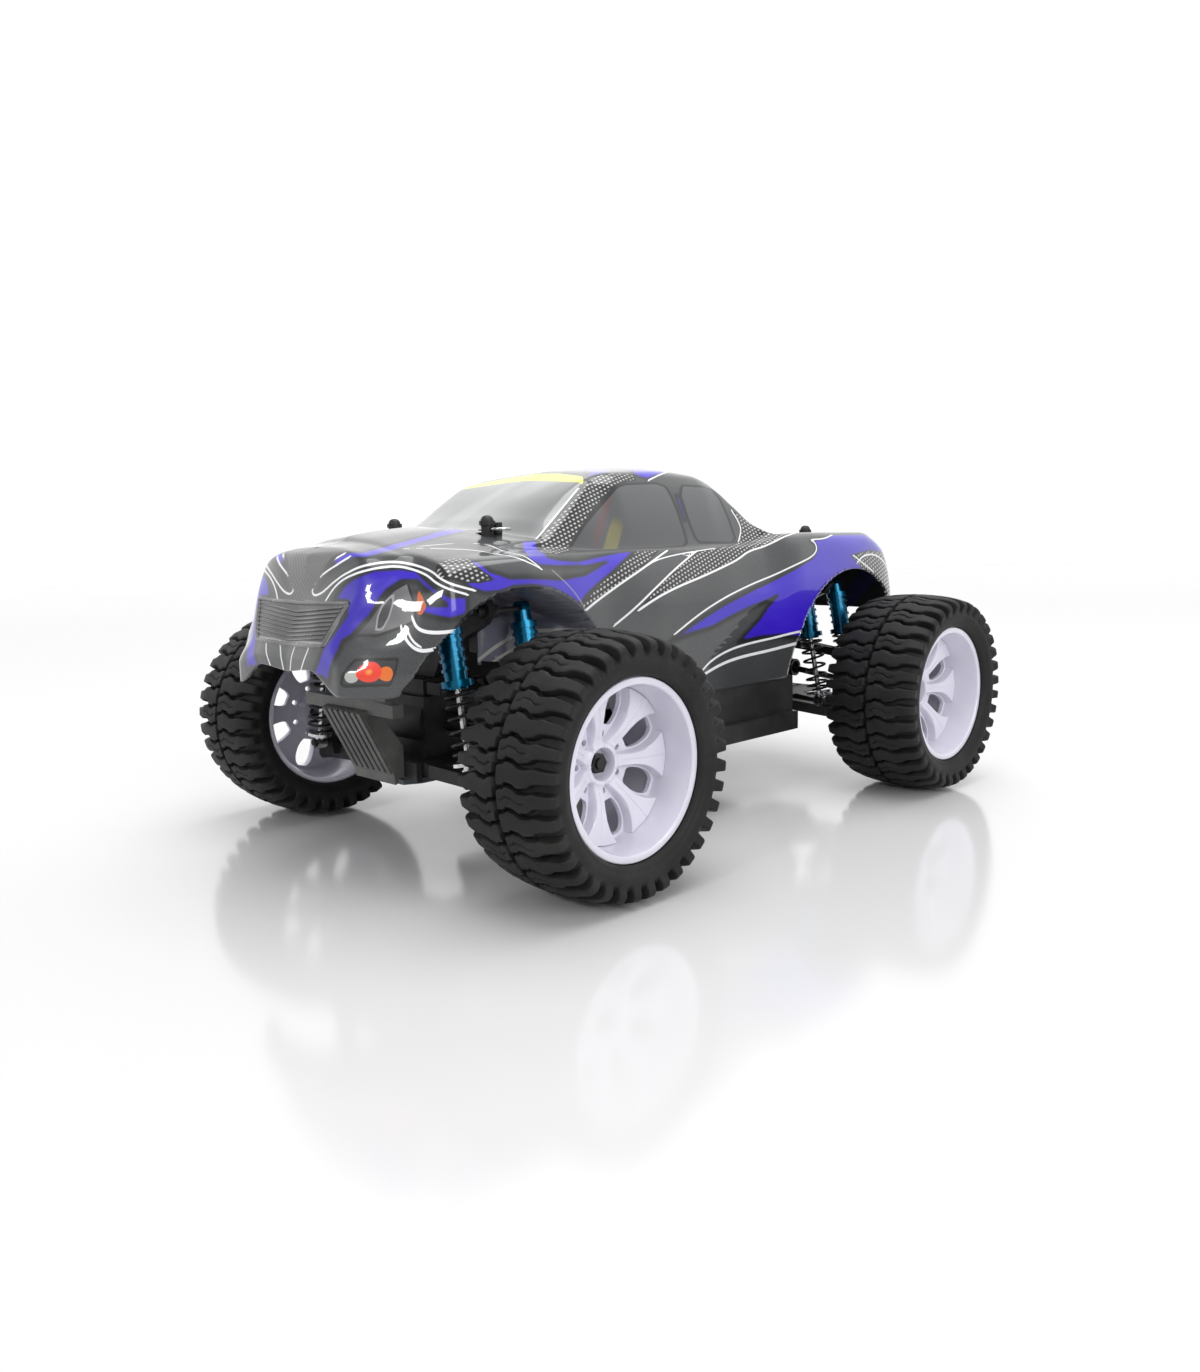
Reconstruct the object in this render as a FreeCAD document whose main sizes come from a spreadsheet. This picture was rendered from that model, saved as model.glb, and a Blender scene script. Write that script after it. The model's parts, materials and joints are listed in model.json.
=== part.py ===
import FreeCAD, Part
import math
import os
import Sketcher
from FreeCAD import Placement, Rotation, Vector

# Remote-control monster truck, one tenth scale, in millimetres.
# +X points to the front, +Y to the truck's left, +Z up. The origin lies on the ground, under the
# middle of the overall length and width.

# ---------------------------------------------------------------------------- driving dimensions
DIMENSIONS = {
    "wheelbase": 275, "axle_shift": -11, "hub_height": 58.5,
    # wheels: y is measured outward from the truck's centre plane
    "wheel_middle": 117.5, "tyre_radius": 58.5, "tyre_width": 58, "carcass_radius": 54.5,
    "bead_radius": 38.6, "lug_count": 36, "lug_width": 7.2, "tread_gap": 1.6, "shoulder_drop": 11,
    "rim_lip": 39.6, "rim_half": 23.6, "rim_seat": 38.4, "rim_inside": 36.2, "rim_lip_width": 2.4,
    "hub_disc_in": -9.4, "hub_disc_out": -2.6, "hub_radius": 10, "hub_rim": 2.6,
    "dish_edge": 8, "dish_thick": 6, "window_count": 7, "window_start": 17.5, "window_end": 33,
    "vent_place": 13.6, "vent_radius": 1.4,
    "hex_flats": 12, "hex_length": 4.6, "nut_flats": 8, "nut_length": 4, "axle_radius": 2.5,
    "cup_radius": 5.6, "cup_bore": 4.2, "ball_radius": 3.9, "cup_length": 7.5,
    # suspension: every link of a corner spans the same step, so the wheel stays upright
    "pin_radius": 1.5, "running_gap": 0.05, "open_gap": 0.35,
    "arm_inner_y": 22, "arm_inner_z": 48, "link_run": 62, "link_drop": 8,
    "arm_inner_half": 26, "arm_outer_half": 14, "arm_thick": 6.4, "arm_eye": 3.6, "arm_slot": 8.6,
    "upper_inner_z": 84, "upper_half": 9, "upper_thick": 5, "upper_bar": 7,
    "shaft_inner_y": 26, "shaft_inner_z": 66.5, "shaft_radius": 2,
    "king_y": 88, "king_radius": 2, "plate_low": 47.5, "plate_high": 69.5, "plate_thick": 3,
    "carrier_half": 8, "carrier_back": 79, "carrier_wall": 4, "carrier_outer": 92,
    "barrel_radius": 8.4, "barrel_bore": 6, "barrel_end": 101, "knuckle_play": 0.4,
    # steering: every arm points rearwards by the same step, so the links only slide sideways
    "steer_step": 30, "tie_inner_z": 60, "tie_radius": 1.8, "tie_ball": 3.4, "stud_radius": 1.2,
    "crank_x": -38, "crank_y": 12, "crank_low": 46, "crank_high": 50, "crank_post": 2.6,
    "link_low": 51.4, "link_high": 54.4,
    # dampers: two beside each other at every wheel
    "shock_top_y": 50, "shock_top_z": 122, "shock_foot_y": 64, "shock_foot_z": 50,
    "shock_front_ahead": 27, "shock_front_behind": -18, "shock_rear_ahead": 21, "shock_rear_behind": -16,
    "shock_body_radius": 5.4, "shock_body_length": 34, "shock_collar": 7.6, "shock_ring_pitch": 4.4,
    "shock_bore_depth": 20, "shock_shaft_top": 25, "shock_eye": 3.7, "shock_eye_length": 5,
    "spring_radius": 6.3, "spring_wire": 0.75, "spring_turns": 6,
    # chassis and drive train
    "floor_low": 39, "floor_thick": 2.5, "floor_half": 45, "floor_nose_half": 20, "floor_nose": 168,
    "floor_tail": -176, "floor_step_front": 98, "floor_step_rear": -98,
    "guard_front": 68, "guard_rear": -76, "guard_out": 75, "guard_up": 70.5, "guard_wall": 2,
    "case_half_x": 21, "case_half_y": 16.5, "case_top": 80, "outdrive_radius": 5.6, "outdrive_end": 31,
    "outdrive_bore": 4.2, "lug_plate": 3.4, "tower_thick": 4, "tower_front_x": 4.5, "tower_rear_x": -3,
    "drive_height": 66.5, "drive_radius": 3, "spur_radius": 22, "spur_teeth": 44, "spur_thick": 6,
    "pinion_radius": 8.5, "pinion_teeth": 17, "gear_x": -14, "tooth_height": 0.9, "tooth_width": 1.1,
    "motor_radius": 18, "motor_length": 53, "motor_y": 30.17, "motor_z": 62,
    "servo_back": 104, "servo_y": 30, "servo_length": 40, "servo_width": 19, "servo_height": 36,
    "servo_ears": 52, "servo_ear_height": 27,
    "controller_x": 54, "controller_y": -38.5, "controller_length": 32, "controller_width": 19,
    "controller_height": 18, "fin_pitch": 3.7, "fin_wall": 1.2, "fin_height": 6,
    "receiver_x": -93, "receiver_y": 30, "receiver_length": 16, "receiver_width": 22, "receiver_height": 12,
    "battery_length": 132, "battery_width": 44, "battery_height": 23, "battery_x": -30, "battery_y": -46,
    "skid_top_x": 190, "skid_top_z": 77, "skid_foot_x": 174, "skid_foot_z": 46, "skid_half": 17,
    "skid_thick": 3, "skid_ribs": 7, "post_radius": 3, "post_front_x": 129, "post_front_y": 38,
    "post_front_top": 164, "post_rear_x": -134, "post_rear_y": 40, "post_rear_top": 157,
    "clip_wire": 0.7, "clip_ring": 4.2, "clip_leg": 12, "post_gap": 0.8,
    # body shell
    "shell_wall": 1.3, "arch_radius": 61.5, "arch_front_x": 142, "arch_rear_x": -128, "arch_z": 72,
    "shell_half": 80,
}

# Body shell stations from nose to tail: x at the reference height, the height, the backward lean
# per millimetre of height, then half a cross-section from the sill up and in to the centre line.
# The widths are measured from the shell's half width, which the sheet holds.
STATIONS = [
    ("nose", 218, 90, -0.25,
     [(-38, 90), (-36, 101), (-37, 113), (-41, 130), (-50, 144), (-62, 149), (-80, 151)]),
    ("fascia", 203, 92, -0.12,
     [(0, 92), (1, 104), (0.5, 118), (-4, 139), (-32, 148), (-55, 153), (-80, 154)]),
    ("fender", 180, 92, 0, [(-1, 88), (0.5, 104), (0.5, 122), (-4, 142), (-32, 151), (-54, 156), (-80, 158)]),
    ("wheel", 142, 92, 0, [(-3, 78), (0, 100), (0, 130), (-4, 145), (-30, 152), (-52, 158), (-80, 162)]),
    ("cowl", 112, 92, 0, [(-18, 71), (-17, 95), (-12, 124), (-9, 147), (-20, 151), (-50, 157), (-80, 160)]),
    ("door", 82, 92, 0, [(-12, 70), (-10, 90), (-6, 117), (-11, 147), (-17, 150), (-50, 152), (-80, 154)]),
    ("middle", 20, 92, 0, [(-8, 70), (-3, 92), (-3, 118), (-11, 147), (-16, 150), (-50, 150), (-80, 150)]),
    ("pillar", -40, 92, 0, [(-8, 70), (-3, 92), (-2, 120), (-10, 149), (-17, 152), (-50, 150), (-80, 149)]),
    ("bed", -75, 92, 0, [(-6, 71), (0, 95), (0.5, 125), (-4, 150), (-13, 155), (-19, 146), (-80, 145)]),
    ("rear", -137, 92, 0, [(-2, 88), (0.5, 105), (0.5, 130), (-5, 151), (-15, 155), (-21, 145), (-80, 144)]),
    ("tail", -183, 113, 0.3,
     [(-8, 106), (-6, 112), (-6, 127), (-9, 148), (-18, 153), (-24, 146), (-80, 146)]),
]

# Cabin outlines seen from above: a height, then half an outline from the windscreen to the rear window.
CABIN = [
    ("belt", 147, [(153, 0), (146, 36), (127, 65), (16, 67), (-62, 64), (-58, 40), (-56, 0)]),
    ("eaves", 184, [(75, 0), (74, 30), (70, 50), (16, 54), (-20, 52), (-26, 30), (-27, 0)]),
    ("roof", 193, [(46, 0), (45, 20), (40, 34), (14, 38), (-4, 36), (-9, 20), (-10, 0)]),
]

CABIN_MIDDLE = 20

AXES = {"X": Vector(1, 0, 0), "Y": Vector(0, 1, 0), "Z": Vector(0, 0, 1)}
PLANES = {"X": "YZ_Plane", "Y": "XZ_Plane", "Z": "XY_Plane"}
PARTS = []

document = FreeCAD.newDocument("monster_truck")
sheet = document.addObject("Spreadsheet::Sheet", "Sizes")


class Size:
    """A number that carries the sheet formula it came from."""

    def __init__(self, value, text=None):
        self.value = float(value)
        self.text = text or "(%.6f)" % value

    def join(self, other, sign, value):
        return Size(value, "(%s %s %s)" % (self.text, sign, other.text))

    def __add__(self, other):
        other = as_size(other)
        return self.join(other, "+", self.value + other.value)

    def __sub__(self, other):
        other = as_size(other)
        return self.join(other, "-", self.value - other.value)

    def __mul__(self, other):
        other = as_size(other)
        return self.join(other, "*", self.value * other.value)

    def __truediv__(self, other):
        other = as_size(other)
        return self.join(other, "/", self.value / other.value)

    def __neg__(self):
        return self * -1

    __radd__ = __add__
    __rmul__ = __mul__

    def __rsub__(self, other):
        return as_size(other) - self


def as_size(value):
    return value if isinstance(value, Size) else Size(value)


def fill_sheet():
    for row, (alias, value) in enumerate(DIMENSIONS.items(), start=1):
        sheet.set("A%d" % row, alias)
        sheet.set("B%d" % row, str(value))
        sheet.setAlias("B%d" % row, alias)
    document.recompute()


def size(alias):
    return Size(DIMENSIONS[alias], "Sizes." + alias)


def number(alias):
    return float(sheet.get(alias))


def bind(item, prop, value):
    item.setExpression(prop, as_size(value).text)


def keep(item, label):
    """Marks an object as one of the truck's pieces."""
    item.Label = label
    PARTS.append(item)
    return item


# ----------------------------------------------------------------------------- sketched features
def new_body(label):
    return keep(document.addObject("PartDesign::Body", label), label)


def polygon(points):
    return ("polygon", [(as_size(u), as_size(v)) for u, v in points])


def circle(u, v, radius):
    return ("circle", (as_size(u), as_size(v), as_size(radius)))


def pin_point(sketch, geometry, point, u, v):
    for kind, value in (("DistanceX", u), ("DistanceY", v)):
        index = sketch.addConstraint(Sketcher.Constraint(kind, -1, 1, geometry, point, value.value))
        sketch.setExpression("Constraints[%d]" % index, value.text)


def draw_polygon(sketch, points):
    first = sketch.GeometryCount
    count = len(points)
    for index in range(count):
        start = points[index]
        end = points[(index + 1) % count]
        ends = [Vector(u.value, v.value, 0) for u, v in (start, end)]
        sketch.addGeometry(Part.LineSegment(*ends), False)
    for index in range(count):
        follower = first + (index + 1) % count
        sketch.addConstraint(Sketcher.Constraint("Coincident", first + index, 2, follower, 1))
    for index, (u, v) in enumerate(points):
        pin_point(sketch, first + index, 1, u, v)


def draw_circle(sketch, u, v, radius):
    ring = Part.Circle(Vector(u.value, v.value, 0), AXES["Z"], radius.value)
    index = sketch.addGeometry(ring, False)
    pin_point(sketch, index, 3, u, v)
    radius_index = sketch.addConstraint(Sketcher.Constraint("Radius", index, radius.value))
    sketch.setExpression("Constraints[%d]" % radius_index, radius.text)


def new_sketch(body, axis, middle, loops):
    """A sketch across the given axis. Along Y the sketch looks backwards, so its offset is negative."""
    sketch = body.newObject("Sketcher::SketchObject", body.Name + "_sketch")
    plane = [item for item in body.Origin.OriginFeatures if item.Role == PLANES[axis]][0]
    sketch.AttachmentSupport = [(plane, "")]
    sketch.MapMode = "FlatFace"
    middle = as_size(middle)
    offset = -middle if axis == "Y" else middle
    sketch.AttachmentOffset = Placement(Vector(0, 0, offset.value), Rotation())
    sketch.setExpression(".AttachmentOffset.Base.z", offset.text)
    for kind, data in loops:
        if kind == "polygon":
            draw_polygon(sketch, data)
        else:
            draw_circle(sketch, *data)
    return sketch


def pad(body, axis, middle, depth, *loops):
    """Adds material on both sides of the plane at middle."""
    feature = body.newObject("PartDesign::Pad", body.Name + "_pad")
    feature.Profile = new_sketch(body, axis, middle, loops)
    feature.Midplane = True
    bind(feature, "Length", depth)
    return feature


def pocket(body, axis, middle, depth, *loops):
    """Takes material away on both sides of the plane at middle."""
    feature = body.newObject("PartDesign::Pocket", body.Name + "_pocket")
    feature.Profile = new_sketch(body, axis, middle, loops)
    feature.Midplane = True
    bind(feature, "Length", depth)
    return feature


def revolve(body, points):
    """Turns an outline of (radius, y) points about the Y axis."""
    feature = body.newObject("PartDesign::Revolution", body.Name + "_turn")
    sketch = new_sketch(body, "Z", 0, [polygon(points)])
    feature.Profile = sketch
    feature.ReferenceAxis = (sketch, ["V_Axis"])
    feature.Angle = 360
    return sketch


def around(body, sketch, feature, count, axis="V_Axis"):
    pattern = body.newObject("PartDesign::PolarPattern", body.Name + "_ring")
    pattern.Originals = [feature]
    pattern.Axis = (sketch, [axis])
    pattern.Angle = 360
    bind(pattern, "Occurrences", count)
    body.Tip = pattern
    return pattern


def copy_of(source, label, placement):
    """The same moulding used again somewhere else on the truck."""
    body = new_body(label)
    base = body.newObject("PartDesign::FeatureBase", label + "_base")
    base.BaseFeature = source
    body.Tip = base
    body.Placement = placement
    return body


# ------------------------------------------------------------------------------ simple primitives
def set_base(item, x, y, z):
    for name, value in (("x", x), ("y", y), ("z", z)):
        bind(item, ".Placement.Base." + name, value)


def block(middle, sides):
    item = document.addObject("Part::Box", "block")
    for prop, value in zip(("Length", "Width", "Height"), sides):
        bind(item, prop, value)
    set_base(item, *[as_size(place) - as_size(side) / 2 for place, side in zip(middle, sides)])
    return item


def rod(middle, axis, radius, length):
    """A round bar about its middle, along X, Y or Z."""
    item = document.addObject("Part::Cylinder", "rod")
    bind(item, "Radius", radius)
    bind(item, "Height", length)
    item.Placement = Placement(Vector(), Rotation(AXES["Z"], AXES[axis]))
    half = as_size(length) / 2
    places = [as_size(place) - half if name == axis else as_size(place) for name, place in zip("XYZ", middle)]
    set_base(item, *places)
    return item


def ball(middle, radius):
    item = document.addObject("Part::Sphere", "ball")
    bind(item, "Radius", radius)
    set_base(item, *[as_size(place) for place in middle])
    return item


def fuse(*items):
    item = document.addObject("Part::MultiFuse", "fuse")
    item.Shapes = list(items)
    return item


def cut(base, *tools):
    item = document.addObject("Part::Cut", "cut")
    item.Base = base
    item.Tool = tools[0] if len(tools) == 1 else fuse(*tools)
    return item


def group(*items):
    """Identical pieces that share one file."""
    item = document.addObject("Part::Compound", "group")
    item.Links = list(items)
    return item


# --------------------------------------------------------------------------------- whole-truck sizes
FRONT_AXLE = size("wheelbase") / 2 + size("axle_shift")
REAR_AXLE = size("axle_shift") - size("wheelbase") / 2
LINK_LENGTH = math.hypot(DIMENSIONS["link_run"], DIMENSIONS["link_drop"])
LINK_ANGLE = math.degrees(math.atan2(DIMENSIONS["link_drop"], DIMENSIONS["link_run"]))
SHOCK_RUN = DIMENSIONS["shock_foot_y"] - DIMENSIONS["shock_top_y"]
SHOCK_FALL = DIMENSIONS["shock_top_z"] - DIMENSIONS["shock_foot_z"]
SHOCK_LENGTH = math.hypot(SHOCK_RUN, SHOCK_FALL)
SHOCK_ANGLE = math.degrees(math.atan2(SHOCK_RUN, SHOCK_FALL))
BORE = size("pin_radius") + size("running_gap")
OPEN_BORE = size("pin_radius") + size("open_gap")


class Corner:
    """One wheel's place: its name, its axle and the side it is on (+1 left, -1 right)."""

    def __init__(self, end, side):
        self.front = end == "front"
        self.side = 1 if side == "left" else -1
        self.axle = FRONT_AXLE if self.front else REAR_AXLE
        self.name = "%s_%s" % (end, side)
        ahead = "shock_front_ahead" if self.front else "shock_rear_ahead"
        behind = "shock_front_behind" if self.front else "shock_rear_behind"
        self.shocks = [size(ahead), size(behind)]
        self.tower = size("tower_front_x") if self.front else size("tower_rear_x")

    def at(self, x, y, z):
        """Turns a place given from the axle, outward and up into truck coordinates."""
        return (self.axle + x, as_size(y) * self.side, as_size(z))

    def turned(self, y, z, degrees):
        """A placement on this corner tilted so that its outward end drops by the given angle."""
        place = Vector(self.axle.value, y.value * self.side, z.value)
        return Placement(place, Rotation(AXES["X"], -degrees * self.side))


# ---------------------------------------------------------------------------------- suspension links
def make_lower_arm(corner):
    """A wishbone lying along its own Y: hinge tube inside, slot for the carrier outside."""
    side = corner.side
    body = new_body(corner.name + "_lower_arm")
    inner = size("arm_inner_half")
    outer = size("arm_outer_half")
    eye = size("arm_eye")
    reach = Size(LINK_LENGTH)
    plan = [(-inner, 0), (inner, 0), (inner, 9), (outer, reach - 8), (outer, reach), (-outer, reach),
            (-outer, reach - 8), (-inner, 9)]
    pad(body, "Z", 0, size("arm_thick"), polygon([(u, as_size(v) * side) for u, v in plan]))
    pad(body, "X", 0, inner * 2, circle(0, 0, eye))
    pad(body, "X", 0, outer * 2, circle(reach * side, 0, eye))
    window = [(4, 12), (inner - 5, 12), (outer - 4, reach - 20), (4, reach - 20)]
    for sign in (1, -1):
        hole = [(as_size(u) * sign, as_size(v) * side) for u, v in window]
        pocket(body, "Z", 0, size("arm_thick") * 3, polygon(hole))
    slot = size("arm_slot")
    slot_shape = [(-slot, reach - 7), (slot, reach - 7), (slot, reach + 7), (-slot, reach + 7)]
    pocket(body, "Z", 0, size("arm_thick") * 3, polygon([(u, v * side) for u, v in slot_shape]))
    # ears and the long pin that carries both dampers
    across = size("shock_foot_y") - size("arm_inner_y")
    above = size("shock_foot_z") - size("arm_inner_z")
    angle = math.radians(LINK_ANGLE)
    pin_y = across * math.cos(angle) - above * math.sin(angle)
    pin_z = above * math.cos(angle) + across * math.sin(angle)
    ear = [(pin_y - 4, 0), (pin_y + 4, 0), (pin_y + 3, pin_z + 2.6), (pin_y - 3, pin_z + 2.6)]
    ahead, behind = corner.shocks
    for place in (ahead - 7, behind + 7):
        pad(body, "X", place, 4, polygon([(u * side, v) for u, v in ear]))
    pad(body, "X", (ahead + behind) / 2, ahead - behind + 9, circle(pin_y * side, pin_z, size("pin_radius")))
    pocket(body, "X", 0, inner * 3, circle(0, 0, BORE), circle(reach * side, 0, BORE))
    body.Placement = corner.turned(size("arm_inner_y"), size("arm_inner_z"), LINK_ANGLE)


def make_upper_arm(corner):
    """A short bar with a hinge eye at each end."""
    side = corner.side
    body = new_body(corner.name + "_upper_arm")
    reach = Size(LINK_LENGTH)
    half = size("upper_half")
    tip = size("upper_bar") / 2
    plan = [(-half, 0), (half, 0), (tip, reach / 3), (tip, reach), (-tip, reach), (-tip, reach / 3)]
    pad(body, "Z", 0, size("upper_thick"), polygon([(u, as_size(v) * side) for u, v in plan]))
    pad(body, "X", 0, half * 2, circle(0, 0, size("arm_eye")))
    pad(body, "X", 0, tip * 2, circle(reach * side, 0, size("arm_eye") - 0.5))
    pocket(body, "X", 0, half * 4, circle(0, 0, BORE), circle(reach * side, 0, OPEN_BORE))
    body.Placement = corner.turned(size("arm_inner_y"), size("upper_inner_z"), LINK_ANGLE)


def carrier_pins(corner):
    """The hinge pins and lugs that join a carrier to its lower and upper arms."""
    out = size("arm_inner_y") + size("link_run")
    low = size("arm_inner_z") - size("link_drop")
    high = size("upper_inner_z") - size("link_drop")
    half = size("carrier_half")
    tip = size("upper_bar") / 2 + 0.3
    lug_z = (low + size("plate_low")) / 2 + 0.8
    items = [
        rod(corner.at(0, out, low), "X", size("arm_eye") - 0.3, half * 2),
        rod(corner.at(0, out, low), "X", size("pin_radius"), size("arm_outer_half") * 2),
        rod(corner.at(0, out, high), "X", size("pin_radius"), half * 2),
        block(corner.at(0, out, lug_z), (half * 2, 6, size("plate_low") - low - 1.6)),
    ]
    for sign in (1, -1):
        ear_x = (half + tip) / 2 * sign
        ear_z = (high + size("plate_high")) / 2 + 1.6
        items.append(block(corner.at(ear_x, out, ear_z), (half - tip, 6, high - size("plate_high") + 3.2)))
    return items


def make_caster_block(corner):
    """The C-shaped block that holds the kingpins of a front wheel."""
    low = size("plate_low")
    high = size("plate_high")
    thick = size("plate_thick")
    back = size("carrier_back")
    outer = size("carrier_outer")
    width = size("carrier_half") * 2
    middle_y = (back + outer) / 2
    wall_y = back + size("carrier_wall") / 2 - 1.5
    wall = block(corner.at(0, wall_y, (low + high) / 2), (width, 3, high - low + thick * 2))
    plates = [
        block(corner.at(0, middle_y, low - thick / 2), (width, outer - back + 1, thick)),
        block(corner.at(0, middle_y, high + thick / 2), (width, outer - back + 1, thick)),
    ]
    kingpins = [
        rod(corner.at(0, size("king_y"), low + 0.5), "Z", size("king_radius"), thick + 3),
        rod(corner.at(0, size("king_y"), high - 0.5), "Z", size("king_radius"), thick + 3),
    ]
    opening = rod(corner.at(0, wall_y, size("hub_height")), "Y", 7, 12)
    solid = cut(fuse(wall, *plates, *kingpins, *carrier_pins(corner)), opening)
    keep(solid, corner.name + "_caster_block")


def make_knuckle(corner):
    """The steering knuckle: kingpin bosses, wheel bearing barrel and a rearward steering arm."""
    play = size("knuckle_play")
    low = size("plate_low") + play
    high = size("plate_high") - play
    king_y = size("king_y")
    hub = size("hub_height")
    end = size("barrel_end")
    step = size("steer_step")
    ball_z = size("tie_inner_z") - size("link_drop")
    arm_z = ball_z + 5
    boss = block(corner.at(0, king_y, (low + high) / 2), (14, 9, high - low))
    barrel = rod(corner.at(0, (king_y - 4 + end) / 2, hub), "Y", size("barrel_radius"), end - king_y + 4)
    arm = block(corner.at(-step / 2 - 1, king_y, arm_z), (step - 2, 4, 4))
    tip = rod(corner.at(-step, king_y, arm_z), "Z", 3, 4)
    stud = rod(corner.at(-step, king_y, ball_z + 2.5), "Z", size("stud_radius"), 5)
    top = ball(corner.at(-step, king_y, ball_z), 2.2)
    holes = [
        rod(corner.at(0, king_y, low + 1), "Z", size("king_radius") + size("running_gap"), 7),
        rod(corner.at(0, king_y, high - 1), "Z", size("king_radius") + size("running_gap"), 7),
        rod(corner.at(0, king_y - 1, hub), "Y", size("barrel_bore"), 14),
        rod(corner.at(0, end, hub), "Y", size("axle_radius") + size("running_gap"), 20),
    ]
    label = "steering_knuckle_left" if corner.side > 0 else "steering_knuckle_right"
    keep(cut(fuse(boss, barrel, arm, tip, stud, top), *holes), label)


def make_hub_carrier(corner):
    """The upright of a rear wheel: like a caster block and knuckle in one piece."""
    low = size("plate_low")
    high = size("plate_high")
    hub = size("hub_height")
    end = size("barrel_end")
    king_y = size("king_y")
    thick = size("plate_thick")
    spine_size = (size("carrier_half") * 2, 12, high - low + thick * 2)
    spine = block(corner.at(0, king_y - 1, (low + high) / 2), spine_size)
    barrel = rod(corner.at(0, (king_y + end) / 2, hub), "Y", size("barrel_radius"), end - king_y)
    holes = [
        rod(corner.at(0, king_y - 1.5, hub), "Y", size("barrel_bore"), 13.4),
        rod(corner.at(0, end, hub), "Y", size("axle_radius") + size("running_gap"), 20),
    ]
    keep(cut(fuse(spine, barrel, *carrier_pins(corner)), *holes), corner.name + "_hub_carrier")


def make_drive_shaft(corner):
    """A dogbone: a ball with a cross pin at each end of a plain rod."""
    body = new_body(corner.name + "_drive_shaft")
    radius = size("shaft_radius")
    sketch = revolve(body, [(0, 0), (radius, 0), (radius, LINK_LENGTH), (0, LINK_LENGTH)])
    for place in (0, LINK_LENGTH):
        bead = body.newObject("PartDesign::AdditiveSphere", body.Name + "_ball")
        bind(bead, "Radius", size("ball_radius") - 0.5)
        bead.AttachmentOffset = Placement(Vector(0, place, 0), Rotation())
        bead.Placement = Placement(Vector(0, place, 0), Rotation())
    sketch.Visibility = False
    place = Vector(corner.axle.value, DIMENSIONS["shaft_inner_y"] * corner.side, DIMENSIONS["shaft_inner_z"])
    outward = Vector(0, DIMENSIONS["link_run"] * corner.side, -DIMENSIONS["link_drop"])
    body.Placement = Placement(place, Rotation(AXES["Y"], outward))


# --------------------------------------------------------------------------------------- dampers
def damper_frame(corner, offset):
    """Placement whose Z runs from the lower eye up to the upper eye."""
    top_y = DIMENSIONS["shock_top_y"] * corner.side
    place = Vector(corner.axle.value + offset.value, top_y, DIMENSIONS["shock_top_z"])
    return Placement(place, Rotation(AXES["X"], SHOCK_ANGLE * corner.side))


def damper_body(corner, offset):
    """Cap, ribbed reservoir and spring collar, hanging from the upper eye."""
    radius = size("shock_body_radius")
    length = size("shock_body_length")
    pitch = size("shock_ring_pitch")
    items = [
        rod((0, 0, 0), "X", size("shock_eye"), size("shock_eye_length")),
        rod((0, 0, -4), "Z", radius * 0.8, 6),
        rod((0, 0, -length / 2 - 3), "Z", radius, length - 6),
        rod((0, 0, -8), "Z", radius + 1, 3),
        rod((0, 0, -length + 2.5), "Z", size("shock_collar"), 3),
    ]
    for index in range(4):
        items.append(rod((0, 0, -12 - pitch * index), "Z", radius + 0.8, 1.6))
    bores = [
        rod((0, 0, 0), "X", BORE, size("shock_eye_length") * 3),
        rod((0, 0, -length + size("shock_bore_depth") / 2 - 1), "Z", BORE, size("shock_bore_depth") + 2),
    ]
    solid = cut(fuse(*items), *bores)
    solid.Placement = damper_frame(corner, offset)
    return solid


def damper_shaft(corner, offset):
    """Polished rod with the lower spring cup and eye. The eye is the linkage's open pivot."""
    foot = Size(-SHOCK_LENGTH)
    top = -size("shock_shaft_top")
    items = [
        rod((0, 0, (top + foot + 3) / 2), "Z", size("pin_radius"), top - foot - 3),
        rod((0, 0, foot + 5.4), "Z", size("shock_collar"), 1.6),
        rod((0, 0, foot + 3.6), "Z", 3, 3),
        rod((0, 0, foot), "X", size("shock_eye"), size("shock_eye_length")),
    ]
    hole = rod((0, 0, foot), "X", size("pin_radius") + size("open_gap") * 2, size("shock_eye_length") * 3)
    solid = cut(fuse(*items), hole)
    solid.Placement = damper_frame(corner, offset)
    return solid


def damper_spring(corner, offset):
    """A plain coil between the collar and the lower cup."""
    wire_radius = number("spring_wire")
    radius = number("spring_radius")
    low = -SHOCK_LENGTH + 6.2 + wire_radius + 0.2
    high = -number("shock_body_length") + 1.0 - wire_radius - 0.2
    pitch = (high - low) / number("spring_turns")
    helix = Part.makeHelix(pitch, high - low, radius)
    helix.translate(Vector(0, 0, low))
    section = Part.Wire(Part.makeCircle(wire_radius, Vector(radius, 0, low), Vector(0, 1, 0)))
    coil = Part.Wire(helix).makePipeShell([section], True, True)
    item = document.addObject("Part::Feature", "coil")
    item.Shape = coil
    item.Placement = damper_frame(corner, offset)
    return item


def make_dampers(corner):
    makers = (("shock_bodies", damper_body), ("shock_shafts", damper_shaft), ("shock_springs", damper_spring))
    for kind, maker in makers:
        pair = [maker(corner, offset) for offset in corner.shocks]
        keep(group(*pair), "%s_%s" % (corner.name, kind))


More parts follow.
